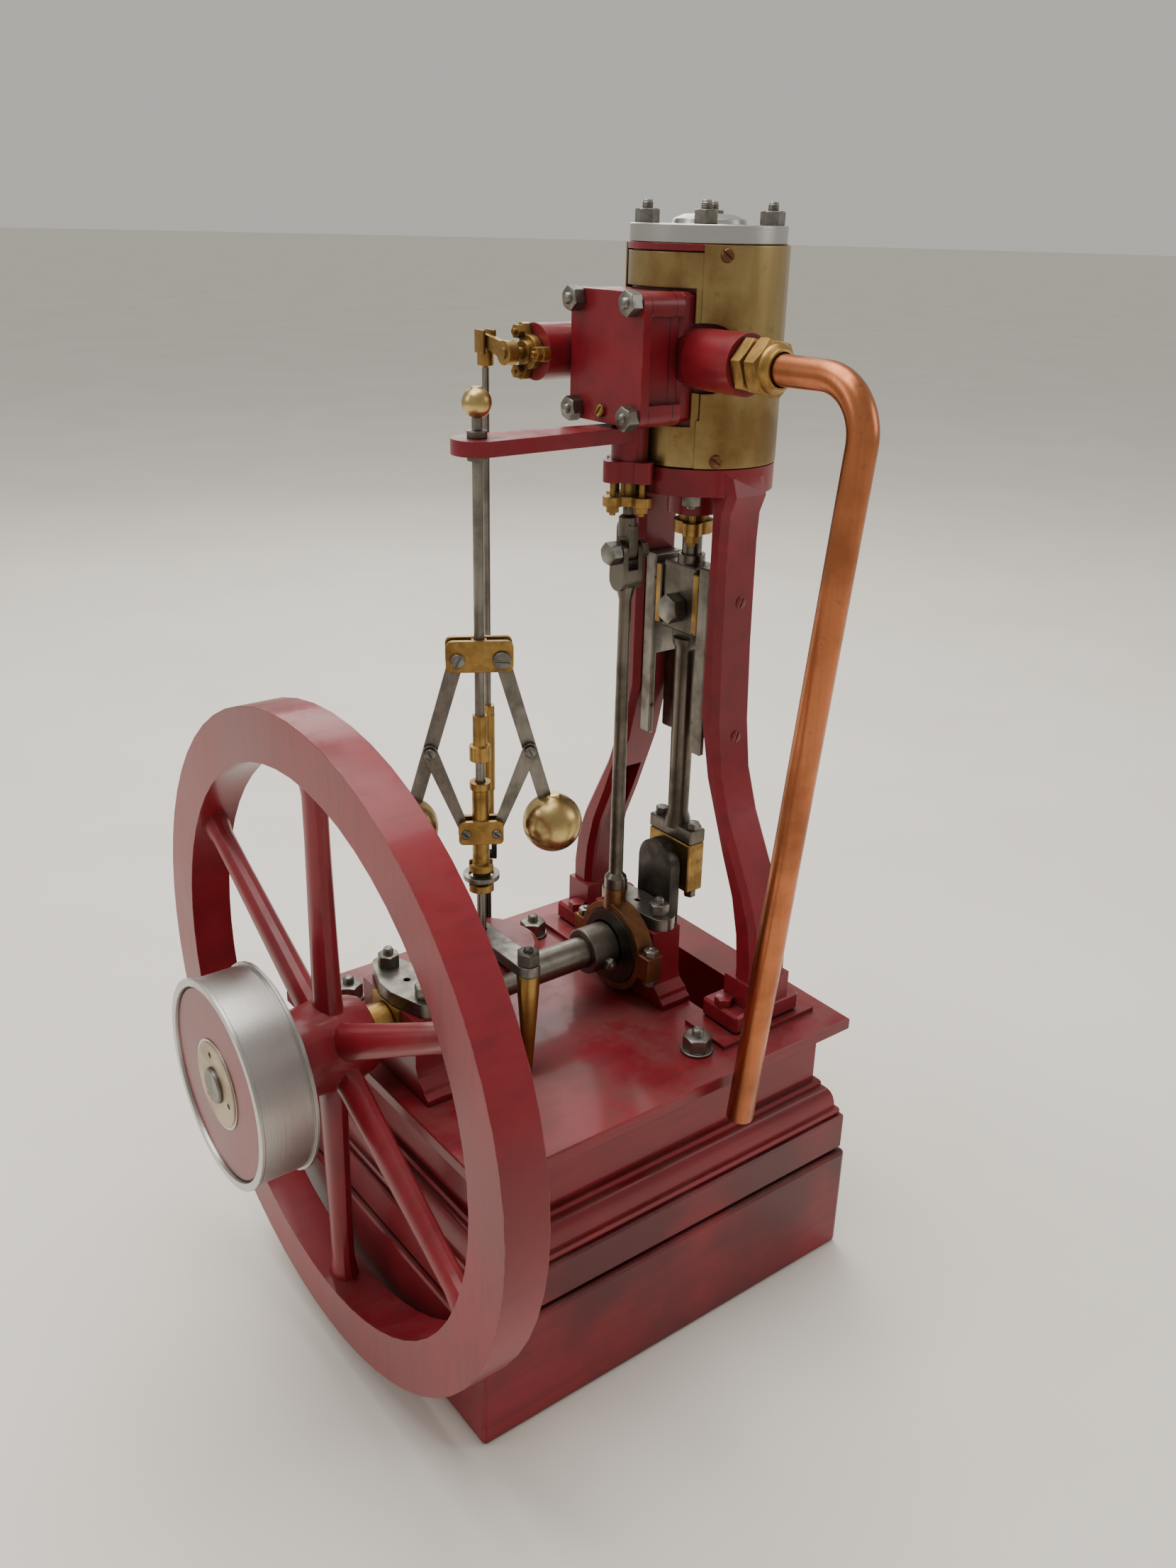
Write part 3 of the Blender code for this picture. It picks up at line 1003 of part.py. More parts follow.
yoke = turned("t", [(6.8, -1.3), (10.0, -1.3), (10.0, 1.3), (6.8, 1.3)], "Z", (-reach, 0, 0), "steel", 24,
              ring=True)
combine(lever2, [box("t3", (-reach + 8.5, -reach + 16.0), (-2.2, 2.2), (-1.3, 1.3), "steel"), yoke])
placed(lever2, TURN)

rod2 = turned("throttle_rod", [(0, LEVER_Z - 3.5), (3.4, LEVER_Z - 3.5), (3.4, 289.0), (4.0, 289.0),
                               (4.0, 337.0), (1.9, 337.0), (1.9, THROTTLE_Z - 9.0),
                               (4.4, THROTTLE_Z - 8.0), (4.4, THROTTLE_Z - 1.0), (0, THROTTLE_Z - 1.0)],
              "Z", (ROD_XY[0], ROD_XY[1], 0), "brass", 18)
bits = []
for side in (-1, 1):
    x_pair = sorted((hub_x + side * 2.3, hub_x + side * 4.3))
    bits.append(box("t", x_pair, (ROD_XY[1] - 4.2, ROD_XY[1] + 4.2), (THROTTLE_Z - 2.0, THROTTLE_Z + 10.0),
                    "brass", 0.4))
bits.append(hexagon("t", 7.4, 337.0 - 0.5, 342.5, "Z", (ROD_XY[0], ROD_XY[1], 0), "brass"))
combine(rod2, bits)

# ---------------------------------------------------------------- bodies and joint origins
BODIES = {
    "crank": ((0, 0, SHAFT_Z), ["crankshaft", "crank_web", "sheave_collar", "spacer_bush",
                                "governor_pinion", "flywheel", "belt_pulley"]),
    "crosshead_body": ((CYL_X, 0, XH_Z), ["crosshead", "crosshead_pin", "piston_and_rod"]),
    "rod_body": ((CYL_X, 0, XH_Z), ["connecting_rod", "big_end_brasses", "crankpin"]),
    "valve_body": ((VALVE_X, 0, KNUCKLE_Z), ["valve_rod"]),
    "eccentric_body": ((VALVE_X, 0, KNUCKLE_Z), ["eccentric_rod", "eccentric_strap",
                                                 "eccentric_sheave"]),
    "governor_body": ((GOV_X, 0, GOV_HEAD_Z), ["governor_spindle", "governor_bevel_wheel",
                                               "governor_head"]),
    "sleeve_body": ((GOV_X, 0, SLEEVE_Z), ["governor_sleeve"]),
    "lever_body": ((fx, fy, LEVER_Z), ["governor_lever"]),
    "throttle_rod_body": ((ROD_XY[0], ROD_XY[1], LEVER_Z), ["throttle_rod"]),
    "throttle_body": ((hub_x, THROTTLE_Y, THROTTLE_Z), ["throttle_lever"]),
}
for side, tag in ((1, "right"), (-1, "left")):
    pivot = SWING @ Vector((side * GOV_PIVOT, 0, GOV_HEAD_Z))
    BODIES["arm_" + tag] = (tuple(pivot), ["governor_arm_" + tag])
    knee = SWING @ Vector((side * elbow[0], 0, elbow[1]))
    BODIES["link_" + tag] = (tuple(knee), ["governor_link_" + tag])

for body, (spot, members) in BODIES.items():
    empty = bpy.data.objects.new("joint_" + body, None)
    empty.empty_display_size = 0.01
    empty.location = Vector(spot) * MM
    bpy.context.scene.collection.objects.link(empty)
    for member in members:
        piece = put_origin(bpy.data.objects[member], spot)
        piece.parent = empty
        piece.location = (0.0, 0.0, 0.0)
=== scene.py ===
"""Looks of the vertical steam engine: paint, metals, fastenings, floor, light and camera.

Places are in millimetres in the frame's axes, and are turned into metres when a mesh is made.
"""

import json
import math

import bmesh
import bpy
from mathutils import Matrix, Vector

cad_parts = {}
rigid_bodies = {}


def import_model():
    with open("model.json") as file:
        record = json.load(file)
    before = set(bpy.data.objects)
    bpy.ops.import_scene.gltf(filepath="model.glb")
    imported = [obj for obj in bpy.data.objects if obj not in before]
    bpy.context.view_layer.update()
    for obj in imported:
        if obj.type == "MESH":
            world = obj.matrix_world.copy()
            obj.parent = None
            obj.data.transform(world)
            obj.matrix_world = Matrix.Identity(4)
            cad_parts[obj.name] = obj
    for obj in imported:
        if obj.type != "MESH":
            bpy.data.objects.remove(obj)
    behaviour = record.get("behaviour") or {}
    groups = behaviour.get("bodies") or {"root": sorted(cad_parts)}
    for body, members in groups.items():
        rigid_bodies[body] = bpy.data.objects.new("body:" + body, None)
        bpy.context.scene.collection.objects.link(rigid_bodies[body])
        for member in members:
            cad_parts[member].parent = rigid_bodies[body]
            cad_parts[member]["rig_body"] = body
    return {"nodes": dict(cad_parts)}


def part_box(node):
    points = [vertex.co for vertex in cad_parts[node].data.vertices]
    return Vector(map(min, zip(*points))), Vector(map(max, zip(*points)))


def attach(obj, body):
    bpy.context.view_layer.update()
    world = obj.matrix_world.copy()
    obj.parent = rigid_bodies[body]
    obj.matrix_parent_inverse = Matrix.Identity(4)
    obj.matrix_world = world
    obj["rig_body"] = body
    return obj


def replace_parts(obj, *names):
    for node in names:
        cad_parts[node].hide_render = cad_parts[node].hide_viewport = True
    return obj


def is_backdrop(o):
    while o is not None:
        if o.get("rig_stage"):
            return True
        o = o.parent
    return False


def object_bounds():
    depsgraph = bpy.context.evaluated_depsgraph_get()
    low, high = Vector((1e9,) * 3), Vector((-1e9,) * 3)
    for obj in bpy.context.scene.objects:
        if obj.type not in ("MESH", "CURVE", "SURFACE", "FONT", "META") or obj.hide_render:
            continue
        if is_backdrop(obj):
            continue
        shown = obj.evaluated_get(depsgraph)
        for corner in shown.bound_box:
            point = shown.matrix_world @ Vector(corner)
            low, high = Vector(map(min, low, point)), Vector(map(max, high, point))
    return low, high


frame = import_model()
cad_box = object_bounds()
NODES = frame["nodes"]
MM = 0.001


def corner(node, axis, end):
    """One side of a CAD node's box in millimetres: end 0 is the low side, 1 the high one."""
    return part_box(node)[end][axis] / MM


def middle(node, axis):
    return (corner(node, axis, 0) + corner(node, axis, 1)) / 2


# ---------------------------------------------------------------- places read from the frame
CYL_X = middle("piston_and_rod", 0)
CYL_R = corner("cladding_front", 0, 1) - CYL_X
SHAFT_Z = middle("crankshaft", 2)
PIN_Z = middle("crankpin", 2)
XH_Z = middle("crosshead_pin", 2)
VALVE_X = middle("eccentric_rod", 0)
KNUCKLE_Z = corner("valve_rod", 2, 0) + 5.6         # centre of the valve rod's eye
GOV_X = middle("governor_spindle", 0)
GOV_TURN = math.radians(-30.0)
GOV_PIVOT = 11.3                 # spindle to the pivot of an arm
GOV_ARM = 53.5                   # pivot of an arm to its elbow
GOV_BALL_ARM = 98.0              # pivot of an arm to the centre of its ball
GOV_ARM_ANGLE = math.radians(16.3)
GOV_SLEEVE_PIVOT = 8.2           # spindle to the pivot of a link on the sleeve
PULLEY_X = corner("belt_pulley", 0, 0)
PULLEY_R = (corner("belt_pulley", 2, 1) - corner("belt_pulley", 2, 0)) / 2
BRIDGE_TOP = corner("bridge_post_front", 2, 1) + 6.3
BRIDGE_Y = middle("bridge_post_rear", 1)
CHEST_FACE_X = corner("steam_chest_cover", 0, 0) + 8.4      # behind the cover's studs
CHEST_Z = middle("steam_chest_cover", 2)
COVER_TOP = corner("cylinder_cover", 2, 1) - 11.0           # below the cover's studs
CAP_TOP = corner("inner_bearing_cap", 2, 1) - 10.5          # below the cap's studs
HEAD_Z = corner("governor_head", 2, 0) + 6.5
BALL_R = 16.0
BALL_REACH = GOV_PIVOT + GOV_BALL_ARM * math.sin(GOV_ARM_ANGLE)
BALL_Z = corner("governor_arm_right", 2, 0) + BALL_R
FOOT_TOP = 183.2                 # top of the column's feet
GUIDE_Y = 18.3                   # inner face of a slide bar


# ---------------------------------------------------------------- materials
class Graph:
    """Short calls that add nodes to one material and wire them together."""

    def __init__(self, name):
        self.mat = bpy.data.materials.new(name)
        self.mat.use_nodes = True
        self.tree = self.mat.node_tree
        self.shader = self.tree.nodes["Principled BSDF"]
        self.place = self.add("ShaderNodeTexCoord").outputs["Object"]
        self.geometry = self.add("ShaderNodeNewGeometry")
        self.rounded = self.add("ShaderNodeBevel", samples=4)
        self.rounded.inputs["Radius"].default_value = 0.0007

    def add(self, kind, **settings):
        node = self.tree.nodes.new(kind)
        for key, value in settings.items():
            setattr(node, key, value)
        return node

    def feed(self, socket, value):
        if isinstance(value, bpy.types.NodeSocket):
            self.tree.links.new(value, socket)
        else:
            socket.default_value = value

    def sum(self, operation, a, b=0.0, clamp=False):
        node = self.add("ShaderNodeMath", operation=operation, use_clamp=clamp)
        self.feed(node.inputs[0], a)
        self.feed(node.inputs[1], b)
        return node.outputs[0]

    def noise(self, scale, detail=3.0, rough=0.55, stretch=(1, 1, 1), shift=0.0):
        move = self.add("ShaderNodeMapping")
        move.inputs["Scale"].default_value = stretch
        move.inputs["Location"].default_value = (shift, shift * 0.7, shift * 1.3)
        self.feed(move.inputs["Vector"], self.place)
        node = self.add("ShaderNodeTexNoise")
        node.inputs["Scale"].default_value = scale
        node.inputs["Detail"].default_value = detail
        node.inputs["Roughness"].default_value = rough
        self.feed(node.inputs["Vector"], move.outputs[0])
        return node.outputs["Fac"]

    def step(self, value, low, high):
        """0 under low, 1 over high, and smooth between."""
        node = self.add("ShaderNodeMapRange", interpolation_type="SMOOTHSTEP")
        self.feed(node.inputs["Value"], value)
        node.inputs["From Min"].default_value = low
        node.inputs["From Max"].default_value = high
        return node.outputs[0]

    def mix(self, share, a, b):
        """A mixed colour."""
        node = self.add("ShaderNodeMix", data_type="RGBA")
        self.feed(node.inputs[0], share)
        self.feed(node.inputs[6], a if isinstance(a, bpy.types.NodeSocket) else (*a, 1.0))
        self.feed(node.inputs[7], b if isinstance(b, bpy.types.NodeSocket) else (*b, 1.0))
        return node.outputs[2]

    def blend(self, share, a, b):
        """A mixed number."""
        node = self.add("ShaderNodeMix", data_type="FLOAT")
        self.feed(node.inputs[0], share)
        self.feed(node.inputs[2], a)
        self.feed(node.inputs[3], b)
        return node.outputs[0]

    def edges(self):
        """High along the sharp edges of a mesh."""
        dot = self.add("ShaderNodeVectorMath", operation="DOT_PRODUCT")
        self.feed(dot.inputs[0], self.rounded.outputs[0])
        self.feed(dot.inputs[1], self.geometry.outputs["Normal"])
        return self.step(self.sum("SUBTRACT", 1.0, dot.outputs["Value"]), 0.012, 0.16)

    def hollows(self, reach):
        """High in inside corners and narrow gaps, where shade falls: the mask for painted shade."""
        node = self.add("ShaderNodeAmbientOcclusion", samples=4)
        node.inputs["Distance"].default_value = reach
        return self.step(self.sum("SUBTRACT", 1.0, node.outputs["AO"]), 0.25, 0.85)

    def upward(self):
        """High where the surface faces up."""
        split = self.add("ShaderNodeSeparateXYZ")
        self.feed(split.inputs[0], self.geometry.outputs["Normal"])
        return self.step(split.outputs[2], 0.55, 0.95)

    def beyond(self, axis, limit, sign=1):
        """1 past a plane square to an axis, at limit in millimetres."""
        split = self.add("ShaderNodeSeparateXYZ")
        self.feed(split.inputs[0], self.place)
        return self.sum("GREATER_THAN" if sign > 0 else "LESS_THAN", split.outputs[axis], limit * MM)

    def outside(self, axis, limit):
        """1 further than limit from the plane through the origin."""
        split = self.add("ShaderNodeSeparateXYZ")
        self.feed(split.inputs[0], self.place)
        size = self.sum("ABSOLUTE", split.outputs[axis])
        return self.sum("GREATER_THAN", size, limit * MM)

    def close(self, look, bump=0.12, depth=0.0002, coat=0.0):
        """Wire a look (colour, roughness, metal, height) to the shader."""
        colour, rough, metal, height = look
        self.feed(self.shader.inputs["Base Color"], colour)
        self.feed(self.shader.inputs["Roughness"], rough)
        self.feed(self.shader.inputs["Metallic"], metal)
        self.shader.inputs["Coat Weight"].default_value = coat
        self.shader.inputs["Specular IOR Level"].default_value = 0.30
        self.shader.inputs["Coat Roughness"].default_value = 0.12
        node = self.add("ShaderNodeBump")
        node.inputs["Strength"].default_value = bump
        node.inputs["Distance"].default_value = depth
        self.feed(node.inputs["Height"], height)
        self.feed(node.inputs["Normal"], self.rounded.outputs[0])
        self.feed(self.shader.inputs["Normal"], node.outputs[0])
        return self.mat


CRIMSON = (0.165, 0.0065, 0.013)
CRIMSON_LIGHT = (0.225, 0.0105, 0.019)
CRIMSON_DARK = (0.085, 0.0045, 0.009)
WORN_PAINT = (0.40, 0.14, 0.12)
DUST = (0.135, 0.055, 0.045)
# near-black colour for grime with painted shade in corners and gaps; also used for dark joint lines
GRIME_AND_SHADE = (0.020, 0.009, 0.008)


def paint(g, dust=0.4, wear=0.6, grime=0.8, brush=(1, 1, 1), tone=0.0):
    """Brushed crimson enamel with worn edges, dust on what faces up, and grime with painted shade
    darkening the corners.
    """
    broad = g.noise(11.0, 4.0, shift=tone)
    strokes = g.noise(90.0, 2.0, stretch=brush)
    fine = g.noise(420.0, 2.0)
    colour = g.mix(g.step(broad, 0.36, 0.64), CRIMSON_DARK if tone else CRIMSON, CRIMSON_LIGHT)
    colour = g.mix(g.sum("MULTIPLY", g.step(strokes, 0.45, 0.75), 0.35), colour, CRIMSON_DARK)
    # 1 away from inside corners, where the painted shade and grime below do not fall
    outside_hollows = g.sum("SUBTRACT", 1.0, g.hollows(0.008), True)
    edge = g.sum("MULTIPLY", g.edges(), outside_hollows)
    rub = g.sum("MULTIPLY", edge, g.step(g.noise(130.0, 4.0, 0.7), 0.46, 0.62))
    colour = g.mix(g.sum("MULTIPLY", rub, wear), colour, WORN_PAINT)
    settled = g.sum("MULTIPLY", g.upward(), g.step(g.noise(24.0, 5.0, 0.65, shift=3.0), 0.42, 0.66))
    settled = g.sum("MULTIPLY", settled, g.blend(fine, 0.5, 1.0))
    colour = g.mix(g.sum("MULTIPLY", settled, dust), colour, DUST)
    # painted shade with grime: inside corners and narrow gaps are darkened towards near black by an
    # ambient-occlusion mask
    dirt_and_shade = g.sum("MULTIPLY", g.sum("SUBTRACT", 1.0, outside_hollows), grime)
    colour = g.mix(dirt_and_shade, colour, GRIME_AND_SHADE)
    rough = g.blend(g.step(broad, 0.3, 0.7), 0.30, 0.40)
    rough = g.sum("ADD", rough, g.sum("MULTIPLY", g.sum("MAXIMUM", settled, dirt_and_shade), 0.34), True)
    height = g.blend(0.35, strokes, fine)
    return colour, rough, 0.0, height


def metal(g, bright, dull, rough=0.32, grain=(1, 1, 1), cloud=36.0, stain=0.6, grime=0.75,
          oil_and_shade=(0.035, 0.028, 0.02)):
    """Worked metal: fine tool marks, clouded tarnish, and oil with painted shade darkening the
    corners.
    """
    marks = g.noise(300.0, 2.0, stretch=grain)
    patches = g.step(g.noise(cloud, 5.0, 0.62, shift=1.7), 0.38, 0.66)
    specks = g.step(g.noise(cloud * 9.0, 3.0, 0.7, shift=5.1), 0.60, 0.74)
    colour = g.mix(g.sum("MULTIPLY", patches, stain), bright, dull)
    colour = g.mix(g.sum("MULTIPLY", specks, stain * 0.5), colour, dull)
    colour = g.mix(g.sum("MULTIPLY", g.step(marks, 0.35, 0.8), 0.22), colour, dull)
    colour = g.mix(g.sum("MULTIPLY", g.edges(), 0.35), colour, bright)
    # painted shade with oil: inside corners and narrow gaps are darkened by an ambient-occlusion
    # mask
    dirt_and_shade = g.sum("MULTIPLY", g.hollows(0.008), grime)
    colour = g.mix(dirt_and_shade, colour, oil_and_shade)
    value = g.sum("ADD", rough, g.sum("MULTIPLY", patches, 0.12))
    value = g.sum("ADD", value, g.sum("MULTIPLY", dirt_and_shade, 0.25), True)
    return colour, value, g.blend(dirt_and_shade, 1.0, 0.75), marks


def either(g, share, first, second):
    """One look where share is 0 and another where it is 1."""
    return (g.mix(share, first[0], second[0]), g.blend(share, first[1], second[1]),
            g.blend(share, first[2], second[2]), g.blend(share, first[3], second[3]))


STEEL = dict(bright=(0.25, 0.235, 0.205), dull=(0.085, 0.072, 0.055))
OILY_STEEL = dict(bright=(0.155, 0.14, 0.115), dull=(0.052, 0.042, 0.031), rough=0.30)
GREY_STEEL = dict(bright=(0.26, 0.25, 0.225), dull=(0.085, 0.074, 0.060))
BRIGHT_STEEL = dict(bright=(0.50, 0.495, 0.475), dull=(0.36, 0.35, 0.325), stain=0.25, cloud=8.0)
DARK_STEEL = dict(bright=(0.085, 0.078, 0.068), dull=(0.028, 0.024, 0.02), rough=0.34)
BRASS = dict(bright=(0.40, 0.245, 0.075), dull=(0.12, 0.068, 0.024))
SHEET_BRASS = dict(bright=(0.40, 0.295, 0.13), dull=(0.17, 0.095, 0.03), rough=0.25, cloud=13.0,
                   stain=0.85)
SPUN_BRASS = dict(bright=(0.56, 0.42, 0.185), dull=(0.26, 0.17, 0.06), rough=0.24, cloud=60.0)
BRONZE = dict(bright=(0.25, 0.12, 0.055), dull=(0.085, 0.042, 0.022), rough=0.38)
COPPER = dict(bright=(0.50, 0.175, 0.075), dull=(0.24, 0.085, 0.038), rough=0.27, cloud=20.0)
ALONG_Z = (2.2, 2.2, 0.05)       # marks drawn out along Z
ROUND_X = (9.0, 0.15, 0.15)      # rings left by a lathe whose axis is X
ROUND_Z = (0.15, 0.15, 9.0)


def metal_material(name, look, grain=(1, 1, 1), bump=0.10, **changes):
    g = Graph(name)
    return g.close(metal(g, grain=grain, **{**look, **changes}), bump)


def paint_material(name, bump=0.16, **settings):
    g = Graph(name)
    return g.close(paint(g, **settings), bump, coat=0.2)


def two_metals(name, mask, first, second, grain=(1, 1, 1)):
    """A node made of one metal, with another where mask(graph) is 1."""
    g = Graph(name)
    share = mask(g)
    return g.close(either(g, share, metal(g, grain=grain, **first), metal(g, **second)), 0.1)


def painted_chest(name, seams):
    """Paint with thin dark joint lines at the given X places."""
    g = Graph(name)
    look = list(paint(g, dust=0.5))
    for x in seams:
        line = g.sum("MULTIPLY", g.beyond(0, x - 0.35), g.beyond(0, x + 0.35, -1))
        look[0] = g.mix(g.sum("MULTIPLY", line, 0.9), look[0], GRIME_AND_SHADE)
    return g.close(look, 0.16, coat=0.2)


def ball_at(side):
    """Centre of a governor ball."""
    return (GOV_X + side * BALL_REACH * math.cos(GOV_TURN), side * BALL_REACH * math.sin(GOV_TURN),
            BALL_Z)


def assign(material, *names):
    """Give whole CAD nodes a material."""
    for name in names:
        for entry in NODES[name].material_slots:
            entry.material = material


RED = paint_material("red_enamel", dust=0.45)
RED_BASE = paint_material("red_enamel_base", dust=0.75, wear=0.5, brush=(0.1, 1.6, 1.6), bump=0.22)
RED_DARK = paint_material("red_enamel_dusty", dust=0.9, wear=0.8, tone=7.0, brush=(0.1, 1.6, 1.6),
                          bump=0.25)
RED_WHEEL = paint_material("red_enamel_wheel", dust=0.35, wear=0.75, brush=(0.3, 2.0, 0.3), bump=0.3)
RED_CHIPPED = paint_material("red_enamel_chipped", dust=0.3, wear=1.0, grime=0.9)
assign(RED, "column", "cylinder", "throttle_housing")
assign(RED_BASE, "bedplate")
assign(RED_DARK, "plinth", "base_slab")
assign(RED_WHEEL, "flywheel")
assign(RED_CHIPPED, "inner_bearing", "outer_bearing", "governor_bevel_wheel")
assign(painted_chest("red_enamel_chest", [corner("steam_chest", 0, 1) - 5.5]), "steam_chest")
assign(RED, "steam_chest_cover")

NUT = metal_material("nut_steel", GREY_STEEL, rough=0.34, cloud=90.0)
FLAT_STEEL = metal_material("flat_steel", STEEL, grain=ALONG_Z, cloud=60.0)
TURNED_X = metal_material("turned_steel_x", STEEL, grain=ROUND_X, bump=0.14)
TURNED_Z = metal_material("turned_steel_z", OILY_STEEL, grain=ALONG_Z, cloud=50.0)
BRIGHT_X = metal_material("bright_steel_x", BRIGHT_STEEL, grain=ROUND_X, bump=0.2, rough=0.26)
BRIGHT_Z = metal_material("bright_steel_z", BRIGHT_STEEL, grain=ROUND_Z, rough=0.24)
DARK = metal_material("dark_steel", DARK_STEEL, cloud=70.0)
CAST_BRASS = metal_material("cast_brass", BRASS, rough=0.36, cloud=80.0)
DRAWN_BRASS = metal_material("drawn_brass", BRASS, grain=ALONG_Z, rough=0.3)
CLAD_BRASS = metal_material("sheet_brass", SHEET_BRASS, grain=(0.6, 0.6, 0.05))
BALL_BRASS = metal_material("ball_brass", SPUN_BRASS)
STRAP_BRONZE = metal_material("strap_bronze", BRONZE, cloud=80.0)
BRONZE_SCREW = metal_material("aged_screw", BRONZE, cloud=200.0, rough=0.42)
PIPE_COPPER = metal_material("pipe_copper", COPPER, grain=ALONG_Z, stain=0.75)

assign(FLAT_STEEL, "slide_bar_front", "slide_bar_rear", "inner_bearing_cap", "outer_bearing_cap",
       "governor_lever", "governor_link_right", "governor_link_left")
assign(TURNED_X, "crankshaft", "sheave_collar", "governor_pinion", "crankpin")
assign(BRIGHT_X, "belt_pulley")
assign(BRIGHT_Z, "cylinder_cover")
assign(TURNED_Z, "connecting_rod", "piston_and_rod", "valve_rod", "eccentric_rod")
assign(NUT, "crosshead_pin", "governor_bridge")
assign(DARK, "crank_web", "eccentric_sheave", "fulcrum_post")
assign(CAST_BRASS, "inner_bearing_brass", "outer_bearing_brass", "valve_gland", "piston_gland",
       "throttle_gland", "big_end_brasses", "governor_head", "governor_sleeve", "throttle_lever")
assign(DRAWN_BRASS, "bridge_post_front", "bridge_post_rear", "spacer_bush")
assign(CLAD_BRASS, "cladding_front", "cladding_rear")
assign(STRAP_BRONZE, "eccentric_strap")
assign(PIPE_COPPER, "exhaust_pipe")
STOP_Z = (340.5, 366.5)          # the brass stop tube on the governor spindle
ROD_STEEL_Z = (343.0, corner("throttle_rod", 2, 1) - 19.0)


def between(low, high):
    """A mask that is 1 from one height to another."""
    return lambda g: g.sum("MULTIPLY", g.beyond(2, low), g.beyond(2, high, -1))


assign(two_metals("spindle_steel", between(*STOP_Z), STEEL, BRASS, grain=ALONG_Z),
       "governor_spindle")
assign(two_metals("throttle_rod_metal", between(*ROD_STEEL_Z), BRASS, STEEL, grain=ALONG_Z),
       "throttle_rod")
assign(two_metals("crosshead_steel", lambda g: g.outside(1, 14.0), OILY_STEEL, BRASS), "crosshead")
assign(FLAT_STEEL, "governor_arm_right", "governor_arm_left")


# ---------------------------------------------------------------- mesh helpers
def mesh_object(name, bm, scale=MM):
    """Turn a bmesh into an object in the scene."""
    bm.transform(Matrix.Scale(scale, 4))
    mesh = bpy.data.meshes.new(name)
    bm.to_mesh(mesh)
    bm.free()
    obj = bpy.data.objects.new(name, mesh)
    bpy.context.scene.collection.objects.link(obj)
    return obj


def shade(mesh, sharp_from):
    """Shade a mesh smooth, with an edge sharp where it bends more than an angle in degrees."""
    mesh.shade_smooth()
    mesh.set_sharp_from_angle(angle=math.radians(sharp_from))


def finish_piece(name, bm, material, body, place=None, smooth=35.0):
    """Turn a bmesh in millimetres into a piece that rides on a body."""
    if place is not None:
        bm.transform(place)
    bmesh.ops.remove_doubles(bm, verts=bm.verts, dist=1e-4)
    bmesh.ops.recalc_face_normals(bm, faces=bm.faces)
    obj = mesh_object(name, bm)
    obj.data.materials.append(material)
    shade(obj.data, smooth)
    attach(obj, body)
    return obj


def lathe(bm, profile, seg=28, closed=False, scallop=None):
    """Revolve (radius, height) points about Z. scallop(turn) scales a radius, for hexagons."""
    rows = []
    for radius, height in profile:
        row = []
        for i in range(1 if radius < 1e-6 else seg):
            turn = 2 * math.pi * i / seg
            reach = radius * (scallop(turn) if scallop else 1.0)
            row.append(bm.verts.new((reach * math.cos(turn), reach * math.sin(turn), height)))
        rows.append(row)
    if closed:
        rows.append(rows[0])
    for low, high in zip(rows, rows[1:]):
        for i in range(seg):
            j = (i + 1) % seg
            if len(low) == 1 and len(high) > 1:
                bm.faces.new((low[0], high[i], high[j]))
            elif len(high) == 1 and len(low) > 1:
                bm.faces.new((low[i], low[j], high[0]))
            elif len(low) > 1:
                bm.faces.new((low[i], low[j], high[j], high[i]))


SIDEWAYS = {(0, 0, 1): (1, 0, 0), (0, 0, -1): (1, 0, 0), (1, 0, 0): (0, 1, 0), (-1, 0, 0): (0, 1, 0),
            (0, 1, 0): (1, 0, 0), (0, -1, 0): (1, 0, 0)}


def aim(point, axis, turn=0.0):
    """A matrix that carries +Z to axis at a point, turned about it."""
    ahead = Vector(axis).normalized()
    side = Vector(SIDEWAYS.get(tuple(axis), (0, 0, 1)))
    up = ahead.cross(side)
    facing = Matrix((side, up, ahead)).transposed().to_4x4()
    return Matrix.Translation(point) @ facing @ Matrix.Rotation(turn, 4, "Z")


HEX_SEG = 36


def round_ring(bm, radius, height):
    """A ring of a circle's outline."""
    row = []
    for i in range(HEX_SEG):
        turn = 2 * math.pi * i / HEX_SEG
        row.append(bm.verts.new((radius * math.cos(turn), radius * math.sin(turn), height)))
    return row


def hex_ring(bm, flats, height_of):
    """A ring of a hexagon's outline at the heights that height_of(reach) gives."""
    row = []
    for i in range(HEX_SEG):
        turn = 2 * math.pi * i / HEX_SEG
        inside = (turn + math.pi / 6) % (math.pi / 3) - math.pi / 6
        reach = flats / 2 / math.cos(inside)
        row.append(bm.verts.new((reach * math.cos(turn), reach * math.sin(turn), height_of(reach))))
    return row


def hexagon(bm, flats, low, high, slope=0.5):
    """A hexagonal body with its corners chamfered round at both ends."""
    land = flats / 2 * 0.97
    rows = [round_ring(bm, land, low),
            hex_ring(bm, flats, lambda reach: low + (reach - land) * slope * 0.6),
            hex_ring(bm, flats, lambda reach: high - (reach - land) * slope),
            round_ring(bm, land, high)]
    bm.faces.new(rows[0])
    bm.faces.new(rows[-1])
    for a, b in zip(rows, rows[1:]):
        for i in range(HEX_SEG):
            j = (i + 1) % HEX_SEG
            bm.faces.new((a[i], a[j], b[j], b[i]))


def thread(bm, radius, low, high, pitch=0.9):
    """A threaded stud end with a domed tip."""
    profile = [(0, low)]
    count = max(2, int((high - low - 1.0) / pitch))
    z = low
    for _ in range(count):
        profile += [(radius * 0.88, z), (radius, z + pitch * 0.35), (radius, z + pitch * 0.6)]
        z += pitch
    profile += [(radius * 0.88, z), (radius * 0.8, high - 0.5), (radius * 0.45, high - 0.1),
                (0, high)]
    lathe(bm, profile, 20)


